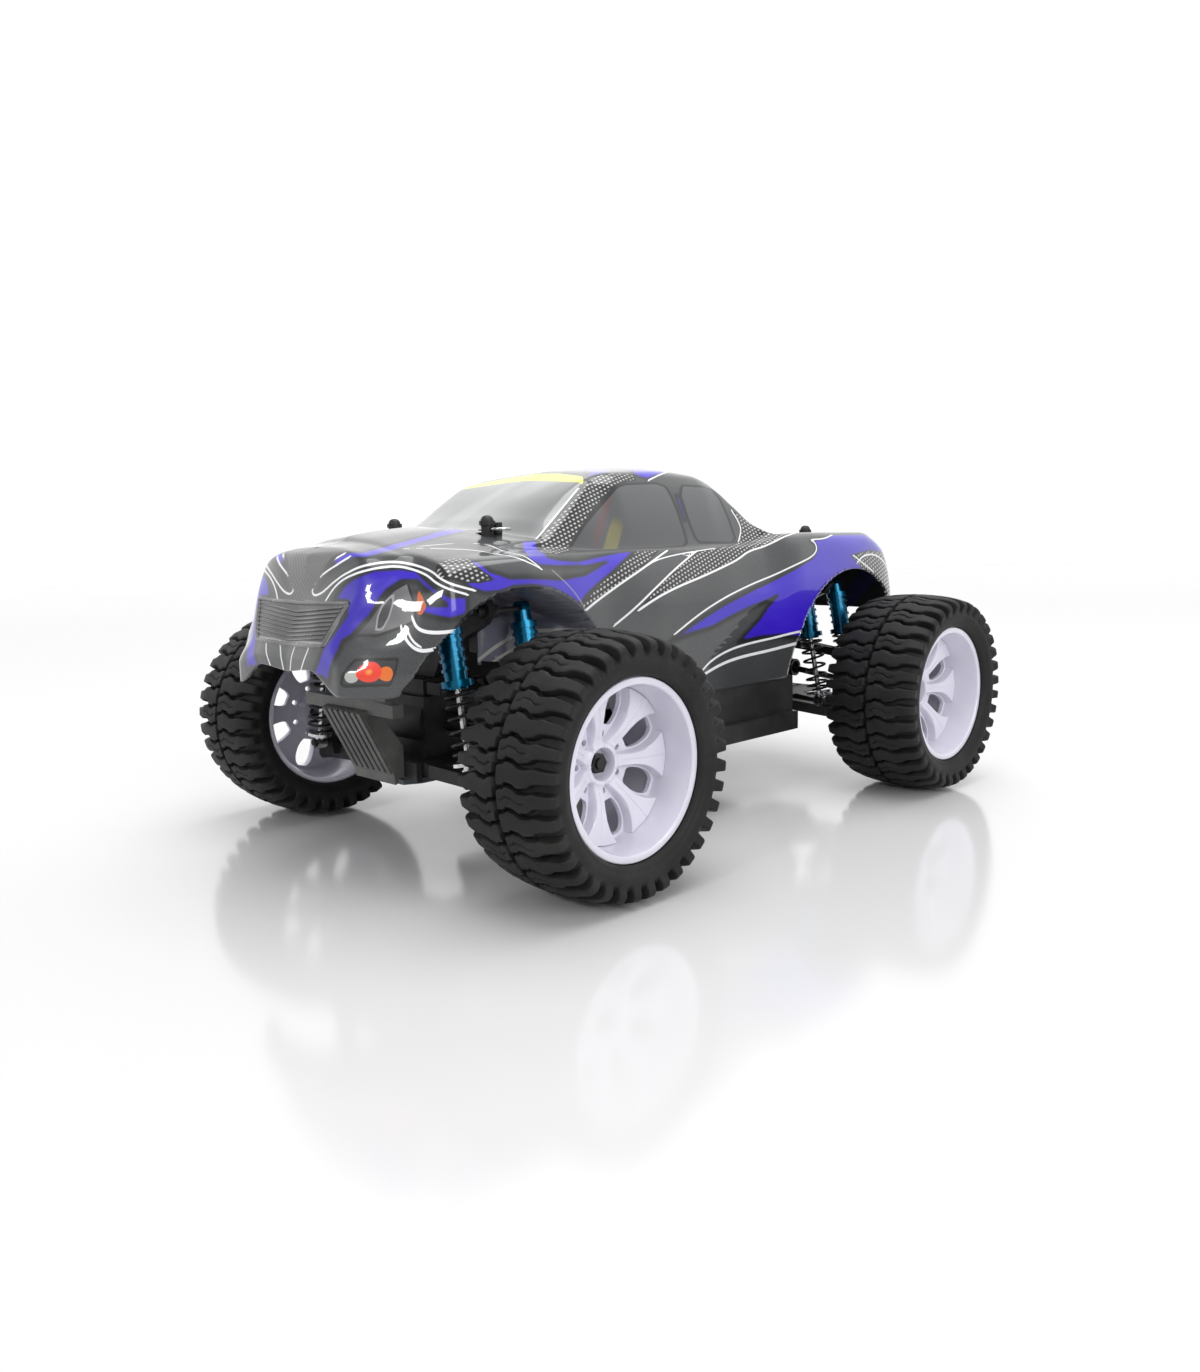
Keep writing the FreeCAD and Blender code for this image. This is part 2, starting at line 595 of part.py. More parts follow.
# ---------------------------------------------------------------------------------------- wheels
def make_rim():
    """A deep dish: barrel, two lips, and a dished disc with windows and vents. +Y faces outward."""
    body = new_body("front_left_rim")
    half = size("rim_half")
    lip = size("rim_lip")
    seat = size("rim_seat")
    inside = size("rim_inside")
    wide = size("rim_lip_width")
    barrel = [
        (inside, -half), (lip, -half), (lip, -half + wide), (seat, -half + wide), (seat, half - wide),
        (lip, half - wide), (lip, half), (inside + 1, half),
    ]
    sketch = revolve(body, barrel)
    hub = size("hub_radius")
    nut_room = hub - size("hub_rim")
    back = size("hub_disc_in")
    seat_face = size("hub_disc_out")
    edge = size("dish_edge")
    revolve(body, [
        (0, back), (hub, back), (inside + 1, edge - size("dish_thick")), (inside + 1, edge),
        (hub, seat_face + 4), (nut_room, seat_face + 4), (nut_room, seat_face), (0, seat_face),
    ])
    start = size("window_start")
    end = size("window_end")
    window = [(start, -2.6), (start + 3, -4.2), (end - 1, -6.4), (end, -5), (end, 5), (end - 1, 6.4),
              (start + 3, 4.2), (start, 2.6)]
    vent = circle(size("vent_place"), 0, size("vent_radius"))
    opening = pocket(body, "Y", 0, half * 2, polygon(window), vent)
    around(body, sketch, opening, size("window_count"))
    pocket(body, "Y", back, half * 2, circle(0, 0, size("axle_radius") + size("running_gap")))
    return body


def make_tyre():
    """A wide block-pattern tyre: carcass, and two staggered rings of bar lugs with shoulders."""
    body = new_body("front_left_tyre")
    half = size("tyre_width") / 2
    bead = size("bead_radius")
    carcass = size("carcass_radius")
    radius = size("tyre_radius")
    seat = size("rim_half") - size("rim_lip_width") - 0.2
    rim_edge = size("rim_half") + 0.3
    over = size("rim_lip") + 0.3
    quarter = [(bead, seat - 4), (bead, seat), (over, seat), (over, rim_edge), (over + 5, half - 1.5),
               (carcass - 6, half - 1.5), (carcass, half - 6)]
    hollow = [(carcass - 4, -half + 9), (carcass - 4, half - 9)]
    section = [(u, -v) for u, v in quarter] + [(u, v) for u, v in reversed(quarter)] + hollow[::-1]
    sketch = revolve(body, section)
    shoulder = radius - size("shoulder_drop")
    gap = size("tread_gap") / 2
    for side in (1, -1):
        lug = [(gap, carcass - 1), (half - 7, carcass - 1), (half - 3, shoulder), (half, shoulder),
               (half, radius - 4.5), (half - 3, radius), (gap, radius)]
        outline = polygon([(u * side, v) for u, v in lug])
        bar = pad(body, "X", size("lug_width") * side / 2, size("lug_width"), outline)
        around(body, sketch, bar, size("lug_count"))
    return body


def make_wheel_axle():
    """Drive cup, stub axle, hex driver and wheel nut in one turning piece."""
    body = new_body("front_left_wheel_axle")
    start = size("king_y") - size("wheel_middle") - 2.5
    cup = size("cup_length")
    radius = size("axle_radius")
    bore = size("cup_bore")
    nut_start = size("hub_disc_out")
    nut_end = nut_start + size("nut_length")
    outline = [
        (bore, start), (size("cup_radius"), start), (size("cup_radius"), start + cup),
        (radius, start + cup), (radius, nut_end + 1), (0, nut_end + 1), (0, start + cup - 1),
        (bore, start + cup - 1),
    ]
    revolve(body, outline)
    hex_middle = size("hub_disc_in") - size("hex_length") / 2
    for middle, length, flats in (
        (hex_middle, size("hex_length"), size("hex_flats")),
        ((nut_start + nut_end) / 2, size("nut_length"), size("nut_flats")),
    ):
        corners = [(flats / math.sqrt(3) * math.cos(math.radians(60 * turn)),
                    flats / math.sqrt(3) * math.sin(math.radians(60 * turn))) for turn in range(6)]
        pad(body, "Y", middle, length, polygon(corners))
    return body


def make_wheels(corners):
    makers = (("rim", make_rim), ("tyre", make_tyre), ("wheel_axle", make_wheel_axle))
    for kind, maker in makers:
        source = maker()
        for corner in corners:
            turn = 0 if corner.side > 0 else 180
            across = DIMENSIONS["wheel_middle"] * corner.side
            place = Vector(corner.axle.value, across, DIMENSIONS["hub_height"])
            placement = Placement(place, Rotation(AXES["Z"], turn))
            if corner.name == "front_left":
                source.Placement = placement
            else:
                copy_of(source, "%s_%s" % (corner.name, kind), placement)


# ---------------------------------------------------------------------------------------- steering
def make_crank(label, side):
    """A steering crank that turns on its post: the servo saver or its idler."""
    x = FRONT_AXLE + size("crank_x")
    y = size("crank_y") * side
    step = size("steer_step")
    low = size("crank_low")
    high = size("crank_high")
    middle = (low + high) / 2
    tall = high - low
    hub = rod((x, y, middle), "Z", 5.5, tall)
    arm = block((x - step / 2, y, middle), (step, 5, tall))
    tip = rod((x - step, y, middle), "Z", 3.4, tall)
    stud_middle = (x - step, y, (high + size("link_high")) / 2)
    stud = rod(stud_middle, "Z", size("pin_radius"), size("link_high") - high)
    hole = rod((x, y, middle), "Z", size("crank_post") + size("running_gap"), tall * 3)
    keep(cut(fuse(hub, arm, tip, stud), hole), label)


def make_drag_link():
    """The plate between both cranks, with the inner ball studs of the tie rods."""
    body = new_body("drag_link")
    low = size("link_low")
    thick = size("link_high") - low
    middle = low + thick / 2
    rear = FRONT_AXLE + size("crank_x") - size("steer_step")
    front = FRONT_AXLE - size("steer_step")
    inner = size("shaft_inner_y")
    y = size("crank_y")
    # the front edge stops just behind the lower arms
    edge = front + 1.9
    half = [(rear - 5, y + 5), (rear + 8, y + 5), (front - 9, y + 5), (front - 5, inner + 4),
            (edge, inner + 4)]
    outline = half + [(u, -v) for u, v in reversed(half)]
    pad(body, "Z", middle, thick, polygon(outline))
    stud_top = size("tie_inner_z") + 1.6
    for side in (1, -1):
        stud = circle(front, inner * side, size("stud_radius"))
        pad(body, "Z", (stud_top + middle) / 2, stud_top - middle, stud)
        pocket(body, "Z", middle, thick * 2, circle(rear, y * side, OPEN_BORE))
    window = [(rear + 8, -8), (front - 12, -8), (front - 12, 8), (rear + 8, 8)]
    pocket(body, "Z", middle, thick * 2, polygon(window))


def make_tie_rod(side_name):
    """A rod from the drag link to a knuckle arm, parallel to the suspension arms."""
    side = 1 if side_name == "left" else -1
    radius = size("tie_ball")
    eye = size("open_gap") + 1.6
    ring = cut(
        rod((0, 0, 0), "Z", radius, 3),
        rod((0, 0, 0), "Z", eye, 9),
    )
    far = cut(
        rod((0, Size(LINK_LENGTH) * side, 0), "Z", radius + 0.4, 3),
        rod((0, Size(LINK_LENGTH) * side, 0), "Z", 3, 9),
    )
    bar_length = Size(LINK_LENGTH) - radius * 2 + 0.6
    bar = rod((0, Size(LINK_LENGTH) / 2 * side, 0), "Y", size("tie_radius") - 0.4, bar_length)
    rod_item = keep(fuse(ring, far, bar), "tie_rod_" + side_name)
    x = FRONT_AXLE.value - DIMENSIONS["steer_step"]
    place = Vector(x, DIMENSIONS["shaft_inner_y"] * side, DIMENSIONS["tie_inner_z"])
    rod_item.Placement = Placement(place, Rotation(AXES["X"], -LINK_ANGLE * side))


# ------------------------------------------------------------------------------------ drive train
def make_gear(label, x, y, z, radius, teeth, bore_parts, phase):
    """A spur gear about X with plain teeth and a hub or shaft."""
    body = new_body(label)
    height = size("tooth_height")
    thick = size("spur_thick")
    root = pad(body, "X", 0, thick, circle(0, 0, radius - height))
    width = size("tooth_width") / 2
    foot = radius - height - 0.5
    crest = radius + height * 0.8
    tooth = [(-width, foot), (width, foot), (width * 0.7, crest), (-width * 0.7, crest)]
    bar = pad(body, "X", 0, thick, polygon(tooth))
    around(body, root.Profile[0], bar, teeth, "N_Axis")
    for middle, length, part_radius in bore_parts:
        pad(body, "X", middle, length, circle(0, 0, part_radius))
    body.Placement = Placement(Vector(x.value, y.value, z.value), Rotation(AXES["X"], phase))
    return body


def make_drive_train():
    x = size("gear_x")
    height = size("drive_height")
    centre = Size(0)
    front = FRONT_AXLE - size("case_half_x") - x - 0.4
    rear = REAR_AXLE + size("case_half_x") - x + 0.4
    shaft = ((front + rear) / 2, front - rear, size("drive_radius"))
    hub = (Size(0), size("spur_thick") + 6, size("drive_radius") * 2.4)
    make_gear("centre_shaft", x, centre, height, size("spur_radius"), size("spur_teeth"),
              [shaft, hub], 0)
    aim = math.degrees(math.atan2(DIMENSIONS["motor_z"] - DIMENSIONS["drive_height"], DIMENSIONS["motor_y"]))
    # the teeth start at the top of each gear, so the pinion is turned until a gap meets a spur tooth
    spur_pitch = 360 / DIMENSIONS["spur_teeth"]
    pinion_pitch = 360 / DIMENSIONS["pinion_teeth"]
    spur_error = (aim - 90) % spur_pitch
    phase = (aim + 180 - 90) + spur_error / spur_pitch * pinion_pitch + pinion_pitch / 2
    stub = (Size(-4), size("spur_thick") + 4, size("pinion_radius") / 2)
    make_gear("motor_pinion", x, size("motor_y"), size("motor_z"), size("pinion_radius"),
              size("pinion_teeth"), [stub], phase)


def make_motor():
    """A can motor lying along X, just behind its pinion, on a foot plate."""
    radius = size("motor_radius")
    length = size("motor_length")
    face = size("gear_x") - 10.2
    y = size("motor_y")
    z = size("motor_z")
    can = rod((face - length / 2, y, z), "X", radius, length)
    nose = rod((face + 0.4, y, z), "X", 6.5, 0.8)
    tail = rod((face - length - 2, y, z), "X", 7, 4)
    plate_z = (size("floor_low") + size("floor_thick") + z) / 2
    foot_height = z - size("floor_low") - size("floor_thick")
    foot = block((face - length / 3, y, plate_z), (5, radius * 1.5, foot_height))
    keep(fuse(can, nose, tail, foot), "motor")


def make_battery():
    floor = size("floor_low") + size("floor_thick")
    height = size("battery_height")
    middle = (size("battery_x"), size("battery_y"), floor + height / 2)
    pack = block(middle, (size("battery_length"), size("battery_width"), height))
    soft = document.addObject("Part::Fillet", "battery_edges")
    document.recompute()
    soft.Base = pack
    soft.Edges = [(number, 4, 4) for number, edge in enumerate(pack.Shape.Edges, start=1) if along_x(edge)]
    keep(soft, "battery")


def along_x(edge):
    start, end = [vertex.Point for vertex in edge.Vertexes]
    return abs(start.x - end.x) > 1


def case_on_floor(x, y, kind):
    """A plain closed case standing on the chassis plate."""
    height = size(kind + "_height")
    middle = (x, y, size("floor_low") + size("floor_thick") + height / 2)
    return block(middle, (size(kind + "_length"), size(kind + "_width"), height))


def make_electronics():
    """Steering servo with ears, speed controller with cooling fins, and receiver."""
    floor = size("floor_low") + size("floor_thick")
    servo_x = FRONT_AXLE - size("servo_back")
    servo_y = size("servo_y")
    ear_z = floor + size("servo_ear_height")
    ears = block((servo_x, servo_y, ear_z), (size("servo_ears"), size("servo_width"), 2.5))
    servo = fuse(case_on_floor(servo_x, servo_y, "servo"), ears)
    x = size("controller_x")
    y = size("controller_y")
    fin_z = floor + size("controller_height") + size("fin_height") / 2
    fin_size = (size("controller_length") - 4, size("fin_wall"), size("fin_height"))
    fins = [block((x, y + size("fin_pitch") * step, fin_z), fin_size) for step in (-2, -1, 0, 1, 2)]
    controller = fuse(case_on_floor(x, y, "controller"), *fins)
    receiver = case_on_floor(size("receiver_x"), size("receiver_y"), "receiver")
    keep(group(servo, controller, receiver), "electronics")


# ------------------------------------------------------------------------------------- chassis
def make_chassis_plate():
    body = new_body("chassis_plate")
    wide = size("floor_half")
    narrow = size("floor_nose_half")
    shift = size("axle_shift")
    front = size("floor_nose") + shift
    rear = size("floor_tail") + shift
    step_front = size("floor_step_front") + shift
    step_rear = size("floor_step_rear") + shift
    half = [
        (rear, narrow - 4), (rear + 10, narrow), (step_rear - 12, narrow), (step_rear, wide),
        (step_front - 26, wide), (step_front, narrow), (front - 8, narrow), (front, narrow - 4),
    ]
    outline = half + [(u, -v) for u, v in reversed(half)]
    thick = size("floor_thick")
    middle = size("floor_low") + thick / 2
    pad(body, "Z", middle, thick, polygon(outline))
    for side in (1, -1):
        # the steering cranks' posts
        top = size("crank_high") + 0.6
        base = size("floor_low") + 1
        post = circle(FRONT_AXLE + size("crank_x"), size("crank_y") * side, size("crank_post"))
        pad(body, "Z", (top + base) / 2, top - base, post)
        # weight-saving slots
        slot = [(22, 12), (50, 12), (50, 34), (22, 34)]
        pocket(body, "Z", middle, thick * 3, polygon([(u + shift, as_size(v) * side) for u, v in slot]))


def make_side_guards():
    """The moulded rails that close the chassis on both sides: a low lip and a taller inner wall."""
    wall = size("guard_wall")
    out = size("guard_out")
    top = size("guard_up")
    low = size("floor_low")
    inner = size("floor_half") + 0.2
    step = low + 10.5
    upright = out - 4
    ledge = [
        (inner, low), (out, low), (out, step), (upright, step), (upright, top), (upright - wall, top),
        (upright - wall, step - wall), (out - wall, step - wall), (out - wall, low + wall),
        (inner, low + wall),
    ]
    length = size("guard_front") - size("guard_rear")
    middle = (size("guard_front") + size("guard_rear")) / 2 + size("axle_shift")
    rails = []
    for side in (1, -1):
        body = document.addObject("PartDesign::Body", "guard_body")
        pad(body, "X", middle, length, polygon([(u * side, v) for u, v in ledge]))
        rails.append(body)
    keep(group(*rails), "side_guards")


def make_front_bumper():
    """A ribbed skid plate leaning back under the nose, on two arms from the chassis."""
    body = new_body("front_bumper")
    shift = size("axle_shift")
    top_x = size("skid_top_x") + shift
    foot_x = size("skid_foot_x") + shift
    top_z = size("skid_top_z")
    foot_z = size("skid_foot_z")
    thick = size("skid_thick")
    half = size("skid_half")
    slab = [
        (foot_x, foot_z), (top_x, top_z), (top_x - thick, top_z + 1), (foot_x - thick, foot_z - 5),
        (foot_x - 1, foot_z - 6),
    ]
    pad(body, "Y", 0, half * 2, polygon(slab))
    rib = [(foot_x, foot_z), (top_x, top_z), (top_x + 0.9, top_z - 0.6), (foot_x + 0.9, foot_z - 0.6)]
    pitch = half * 2 / size("skid_ribs")
    for index in range(DIMENSIONS["skid_ribs"]):
        pad(body, "Y", -half + pitch * (index + 0.5), pitch * 0.62, polygon(rib))
    mount_x = FRONT_AXLE + size("arm_inner_half") + 1 + size("lug_plate")
    arm = [
        (mount_x, foot_z - 3), (foot_x - thick + 1, foot_z - 3), (top_x - thick, top_z),
        (top_x - 9, top_z), (mount_x, foot_z + 12),
    ]
    for side in (1, -1):
        pad(body, "Y", (half - 2) * side, 4, polygon(arm))
    bar_x = top_x - 6
    bar = [(bar_x - 3, top_z - 1), (bar_x + 3, top_z - 1), (bar_x + 3, top_z + 5), (bar_x - 3, top_z + 5)]
    pad(body, "Y", 0, half * 4.4, polygon(bar))


def gearbox(axle):
    """Differential case with outdrive cups, hinge plates for the lower arms and the upper arm pins."""
    floor = size("floor_low") + size("floor_thick")
    half_x = size("case_half_x")
    half_y = size("case_half_y")
    top = size("case_top")
    height = size("shaft_inner_z")
    plate = size("lug_plate")
    upper = size("upper_inner_z")
    arm_y = size("arm_inner_y")
    arm_z = size("arm_inner_z")
    inner = size("arm_inner_half")
    items = [
        block((axle, 0, (floor + top) / 2), (half_x * 2 - 8, half_y * 2, top - floor)),
        rod((axle, 0, height), "Y", half_x - 2, half_y * 2 - 3),
        rod((axle, 0, height), "Y", size("outdrive_radius"), size("outdrive_end") * 2),
        block((axle, 0, upper), (29, 26, 8)),
    ]
    cuts = []
    for end in (1, -1):
        x = axle + (inner + 0.6 + plate / 2) * end
        items.append(block((x, 0, floor + 4.7), (plate, arm_y * 2 + 9, 9.4)))
        items.append(block((axle + (inner - 5) * end, 0, floor + 4.5), (14, half_y * 2 - 4, 9)))
    for side in (1, -1):
        items.append(rod((axle, arm_y * side, arm_z), "X", size("pin_radius"), inner * 2 + plate * 2 + 1.2))
        items.append(rod((axle, arm_y * side, upper), "X", size("pin_radius"), size("upper_half") * 2 + 9))
        for end in (1, -1):
            ear_x = axle + (size("upper_half") + 0.5 + 2) * end
            items.append(block((ear_x, 18 * side, upper), (4, 14, 6)))
        cuts.append(rod((axle, (size("outdrive_end") - 5) * side, height), "Y", size("outdrive_bore"), 12))
    return cut(fuse(*items), *cuts)


def make_gearboxes():
    keep(group(gearbox(FRONT_AXLE), gearbox(REAR_AXLE)), "gearboxes")


def tower(axle, offset, shocks):
    """A flat damper tower with the upper damper pins, standing on the gearbox."""
    body = document.addObject("PartDesign::Body", "tower_body")
    top_y = size("shock_top_y")
    top_z = size("shock_top_z")
    x = axle + offset
    foot = size("case_top") + 8.2
    half = [
        (0, foot), (11, foot), (17, foot + 10), (30, foot + 18), (top_y + 1, top_z - 6),
        (top_y + 6, top_z), (top_y + 3, top_z + 6), (top_y - 5, top_z + 5), (34, foot + 28),
        (13, foot + 24), (0, foot + 24),
    ]
    outline = [(u, v) for u, v in half] + [(-as_size(u), v) for u, v in reversed(half[1:-1])]
    pad(body, "X", x, size("tower_thick"), polygon(outline))
    ahead, behind = shocks
    for side in (1, -1):
        pin = circle(top_y * side, top_z, size("pin_radius"))
        pad(body, "X", axle + (ahead + behind) / 2, ahead - behind + 9, pin)
        pad(body, "X", x, 12, circle(top_y * side, top_z, 3.2))
        pocket(body, "X", x, 30, circle(24 * side, foot + 21, 4))
    return body


def make_towers():
    front = tower(FRONT_AXLE, size("tower_front_x"), [size("shock_front_ahead"), size("shock_front_behind")])
    rear = tower(REAR_AXLE, size("tower_rear_x"), [size("shock_rear_ahead"), size("shock_rear_behind")])
    keep(group(front, rear), "shock_towers")


def post(x, y, top, axle, offset):
    """A body post with its foot against the tower and a cross hole for the clip."""
    low = size("case_top") + 22
    radius = size("post_radius")
    gap_x = axle + offset - size("tower_thick") / 2
    reach = gap_x - x
    direction = 1 if reach.value > 0 else -1
    if direction < 0:
        reach = x - (axle + offset + size("tower_thick") / 2)
    stem = rod((x, y, (low + top) / 2), "Z", radius, top - low)
    foot = block((x + reach / 2 * direction, y, low + 4), (reach, radius * 2, 8))
    knob = rod((x, y, top - 1), "Z", radius + 0.9, 2)
    hole = rod((x, y, top - 4), "Y", size("clip_wire") + 0.35, radius * 4)
    return cut(fuse(stem, foot, knob), hole)


def make_posts():
    shift = size("axle_shift")
    towers = {"front": (FRONT_AXLE, size("tower_front_x")), "rear": (REAR_AXLE, size("tower_rear_x"))}
    items = []
    for side in (1, -1):
        for end, (axle, offset) in towers.items():
            x = size("post_%s_x" % end) + shift
            items.append(post(x, size("post_%s_y" % end) * side, size("post_%s_top" % end), axle, offset))
    keep(group(*items), "body_posts")


def clip(x, y, z, side):
    """A spring clip: a straight leg through the post and a pull ring outside it."""
    leg = rod((x, y, z), "Y", size("clip_wire"), size("clip_leg"))
    ring = document.addObject("Part::Torus", "ring")
    bind(ring, "Radius1", size("clip_ring"))
    bind(ring, "Radius2", size("clip_wire"))
    set_base(ring, x, y + (size("clip_leg") / 2 + size("clip_ring")) * side, z)
    return fuse(leg, ring)


def make_clips():
    shift = size("axle_shift")
    items = []
    for side in (1, -1):
        for end in ("front", "rear"):
            x = size("post_%s_x" % end) + shift
            items.append(clip(x, size("post_%s_y" % end) * side, size("post_%s_top" % end) - 4, side))
    keep(group(*items), "body_clips")


# ------------------------------------------------------------------------------------ body shell
def closed_wire(points):
    return Part.makePolygon(points + [points[0]])


def ruled_solid(wires):
    """A closed solid through the wires, with its faces pointing outward."""
    solid = Part.makeLoft(wires, True, True)
    if solid.Volume < 0:
        solid.reverse()
    return solid


def both_sides(half, make_point):
    """A full closed outline from half of one, leaving out the doubled points on the centre line."""
    left = [make_point(along, across) for along, across in half]
    right = [make_point(along, -across) for along, across in reversed(half) if abs(across) > 0.01]
    return closed_wire(left + right)


def shell_section(station, wall, is_end):
    """One cross-section of the lower shell. With a wall it is the hollow's section."""
    x, z_ref, lean, outline = station[1:]
    shift = number("axle_shift")
    x_in = wall * (1 if x < 0 else -1) * is_end
    half = []
    for index, (inset, z) in enumerate(outline):
        y = max(number("shell_half") + inset - wall, 0) if inset > -number("shell_half") else 0
        drop = 45 * (wall > 0) if index == 0 else wall * (index > 2)
        half.append((y, z - drop))
    left = [Vector(x + shift + x_in + lean * (z - z_ref), y, z) for y, z in half]
    right = [Vector(point.x, -point.y, point.z) for point in reversed(left[:-1])]
    return closed_wire(left + right)


def lower_shell(wall):
    last = len(STATIONS) - 1
    wires = [shell_section(station, wall, index in (0, last)) for index, station in enumerate(STATIONS)]
    return ruled_solid(wires)


def cabin(wall):
    shift = number("axle_shift")
    wires = []
    for _, z, outline in CABIN:
        half = []
        for x, y in outline:
            x_in = x - wall * 1.6 if x > CABIN_MIDDLE else x + wall * 1.6
            half.append((x_in if wall else x, max(y - wall, 0)))
        height = z - wall if z > CABIN[0][1] else z - wall * 6
        wires.append(both_sides(half, lambda along, across: Vector(along + shift, across, height)))
    return ruled_solid(wires)


def make_shell():
    """One thin moulding: hood, fenders, cabin and bed, open below, with wheel arches and post holes."""
    wall = number("shell_wall")
    shift = number("axle_shift")
    outside = lower_shell(0).fuse(cabin(0))
    inside = lower_shell(wall).fuse(cabin(wall))
    shape = outside.cut(inside)
    radius = number("arch_radius")
    width = number("shell_half") * 2.4
    for x in (number("arch_front_x"), number("arch_rear_x")):
        arch = Part.makeCylinder(radius, width, Vector(x + shift, -width / 2, number("arch_z")), AXES["Y"])
        shape = shape.cut(arch)
    hole = number("post_radius") + number("post_gap") + 1
    for side in (1, -1):
        for end in ("front", "rear"):
            place = Vector(number("post_%s_x" % end) + shift, number("post_%s_y" % end) * side, 120)
            shape = shape.cut(Part.makeCylinder(hole, 60, place))
    item = document.addObject("Part::Feature", "body_shell")
    item.Shape = max(shape.Solids, key=lambda solid: solid.Volume)
    keep(item, "body_shell")


# ------------------------------------------------------------------------------------- whole truck
def check_document():
    document.recompute()
    for item in document.Objects:
        if {"Invalid", "Error"} & set(item.State):
            raise RuntimeError("%s failed: %s" % (item.Label, item.State))
    for part in PARTS:
        if part.Shape.isNull() or not part.Shape.isValid():
            raise RuntimeError("%s has no valid shape" % part.Label)


def write_parts():
    os.makedirs("parts", exist_ok=True)
    for part in PARTS:
        part.Shape.exportStep("parts/%s.step" % part.Label)


fill_sheet()
CORNERS = [Corner(end, side) for end in ("front", "rear") for side in ("left", "right")]
make_chassis_plate()
make_side_guards()
make_front_bumper()
make_gearboxes()
make_towers()
make_posts()
make_clips()
make_motor()
make_battery()
make_electronics()
make_drive_train()
make_drag_link()
make_crank("servo_saver", 1)
make_crank("steering_idler", -1)
for name in ("left", "right"):
    make_tie_rod(name)
for corner in CORNERS:
    make_lower_arm(corner)
    make_upper_arm(corner)
    if corner.front:
        make_caster_block(corner)
        make_knuckle(corner)
    else:
        make_hub_carrier(corner)
    make_drive_shaft(corner)
    make_dampers(corner)
make_wheels(CORNERS)
make_shell()
check_document()
write_parts()
print("pieces", len(PARTS))
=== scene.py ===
import json
import math

import bmesh
import bpy
import numpy as np
from mathutils import Matrix, Vector
from mathutils.bvhtree import BVHTree


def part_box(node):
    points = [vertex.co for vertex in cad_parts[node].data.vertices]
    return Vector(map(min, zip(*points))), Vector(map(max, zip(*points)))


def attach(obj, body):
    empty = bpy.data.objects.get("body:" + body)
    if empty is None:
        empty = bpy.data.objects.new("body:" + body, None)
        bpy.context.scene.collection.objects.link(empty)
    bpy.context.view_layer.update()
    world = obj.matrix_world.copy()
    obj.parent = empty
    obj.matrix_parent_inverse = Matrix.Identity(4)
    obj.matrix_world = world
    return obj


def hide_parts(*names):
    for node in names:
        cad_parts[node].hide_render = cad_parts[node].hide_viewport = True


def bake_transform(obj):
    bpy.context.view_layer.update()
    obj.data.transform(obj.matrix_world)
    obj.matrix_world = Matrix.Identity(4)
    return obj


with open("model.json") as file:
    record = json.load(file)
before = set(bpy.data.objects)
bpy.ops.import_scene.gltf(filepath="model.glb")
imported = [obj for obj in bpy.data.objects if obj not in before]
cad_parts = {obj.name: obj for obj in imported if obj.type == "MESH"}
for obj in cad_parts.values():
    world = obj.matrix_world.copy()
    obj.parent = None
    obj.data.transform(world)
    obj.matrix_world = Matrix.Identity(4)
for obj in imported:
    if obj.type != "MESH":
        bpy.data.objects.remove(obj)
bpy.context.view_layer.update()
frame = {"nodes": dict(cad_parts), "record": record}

# Looks of a remote-control monster truck. Sizes below are in millimetres and become metres when a
# mesh is made. x runs forward, y to the truck's left, z up, as in the frame.
MM = 0.001
CORNERS = ("front_left", "front_right", "rear_left", "rear_right")


def node_middle(node):
    """Middle of a CAD node's box, in millimetres."""
    low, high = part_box(node)
    return [(a + b) / 2 / MM for a, b in zip(low, high)]


FRONT_AXLE = node_middle("front_left_tyre")[0]
REAR_AXLE = node_middle("rear_left_tyre")[0]
HUB_HEIGHT = 58.5
# the shell's outlines are measured from the middle of the wheelbase
MIDDLE = (FRONT_AXLE + REAR_AXLE) / 2


# ------------------------------------------------------------------------------------ camera, stage
def add_camera():
    """A close, slightly raised view onto the front left corner."""
    place = Vector((453.2, 444.0, 157.1)) * MM
    yaw, pitch, roll = math.radians(-135.24), math.radians(-7.99), math.radians(-1.09)
    ahead = Vector((math.cos(yaw) * math.cos(pitch), math.sin(yaw) * math.cos(pitch), math.sin(pitch)))
    right = ahead.cross(Vector((0, 0, 1))).normalized()
    up = right.cross(ahead)
    tilted_right = right * math.cos(roll) + up * math.sin(roll)
    tilted_up = up * math.cos(roll) - right * math.sin(roll)
    data = bpy.data.cameras.new("camera")
    data.sensor_width = 36
    data.lens = 28.55
    data.clip_start = 0.01
    camera = bpy.data.objects.new("camera", data)
    turn = Matrix((tilted_right, tilted_up, -ahead)).transposed()
    camera.matrix_world = Matrix.Translation(place) @ turn.to_4x4()
    bpy.context.collection.objects.link(camera)
    bpy.context.scene.camera = camera


LIGHTS_TARGET = Vector((0, 0, 0.1))


def add_light(name, place, size, power):
    """A soft box that faces the truck."""
    data = bpy.data.lights.new(name, "AREA")
    data.shape = "RECTANGLE"
    data.size, data.size_y = size
    data.energy = power
    light = bpy.data.objects.new(name, data)
    light.location = place
    light.rotation_euler = (LIGHTS_TARGET - Vector(place)).to_track_quat("-Z", "Y").to_euler()
    bpy.context.collection.objects.link(light)


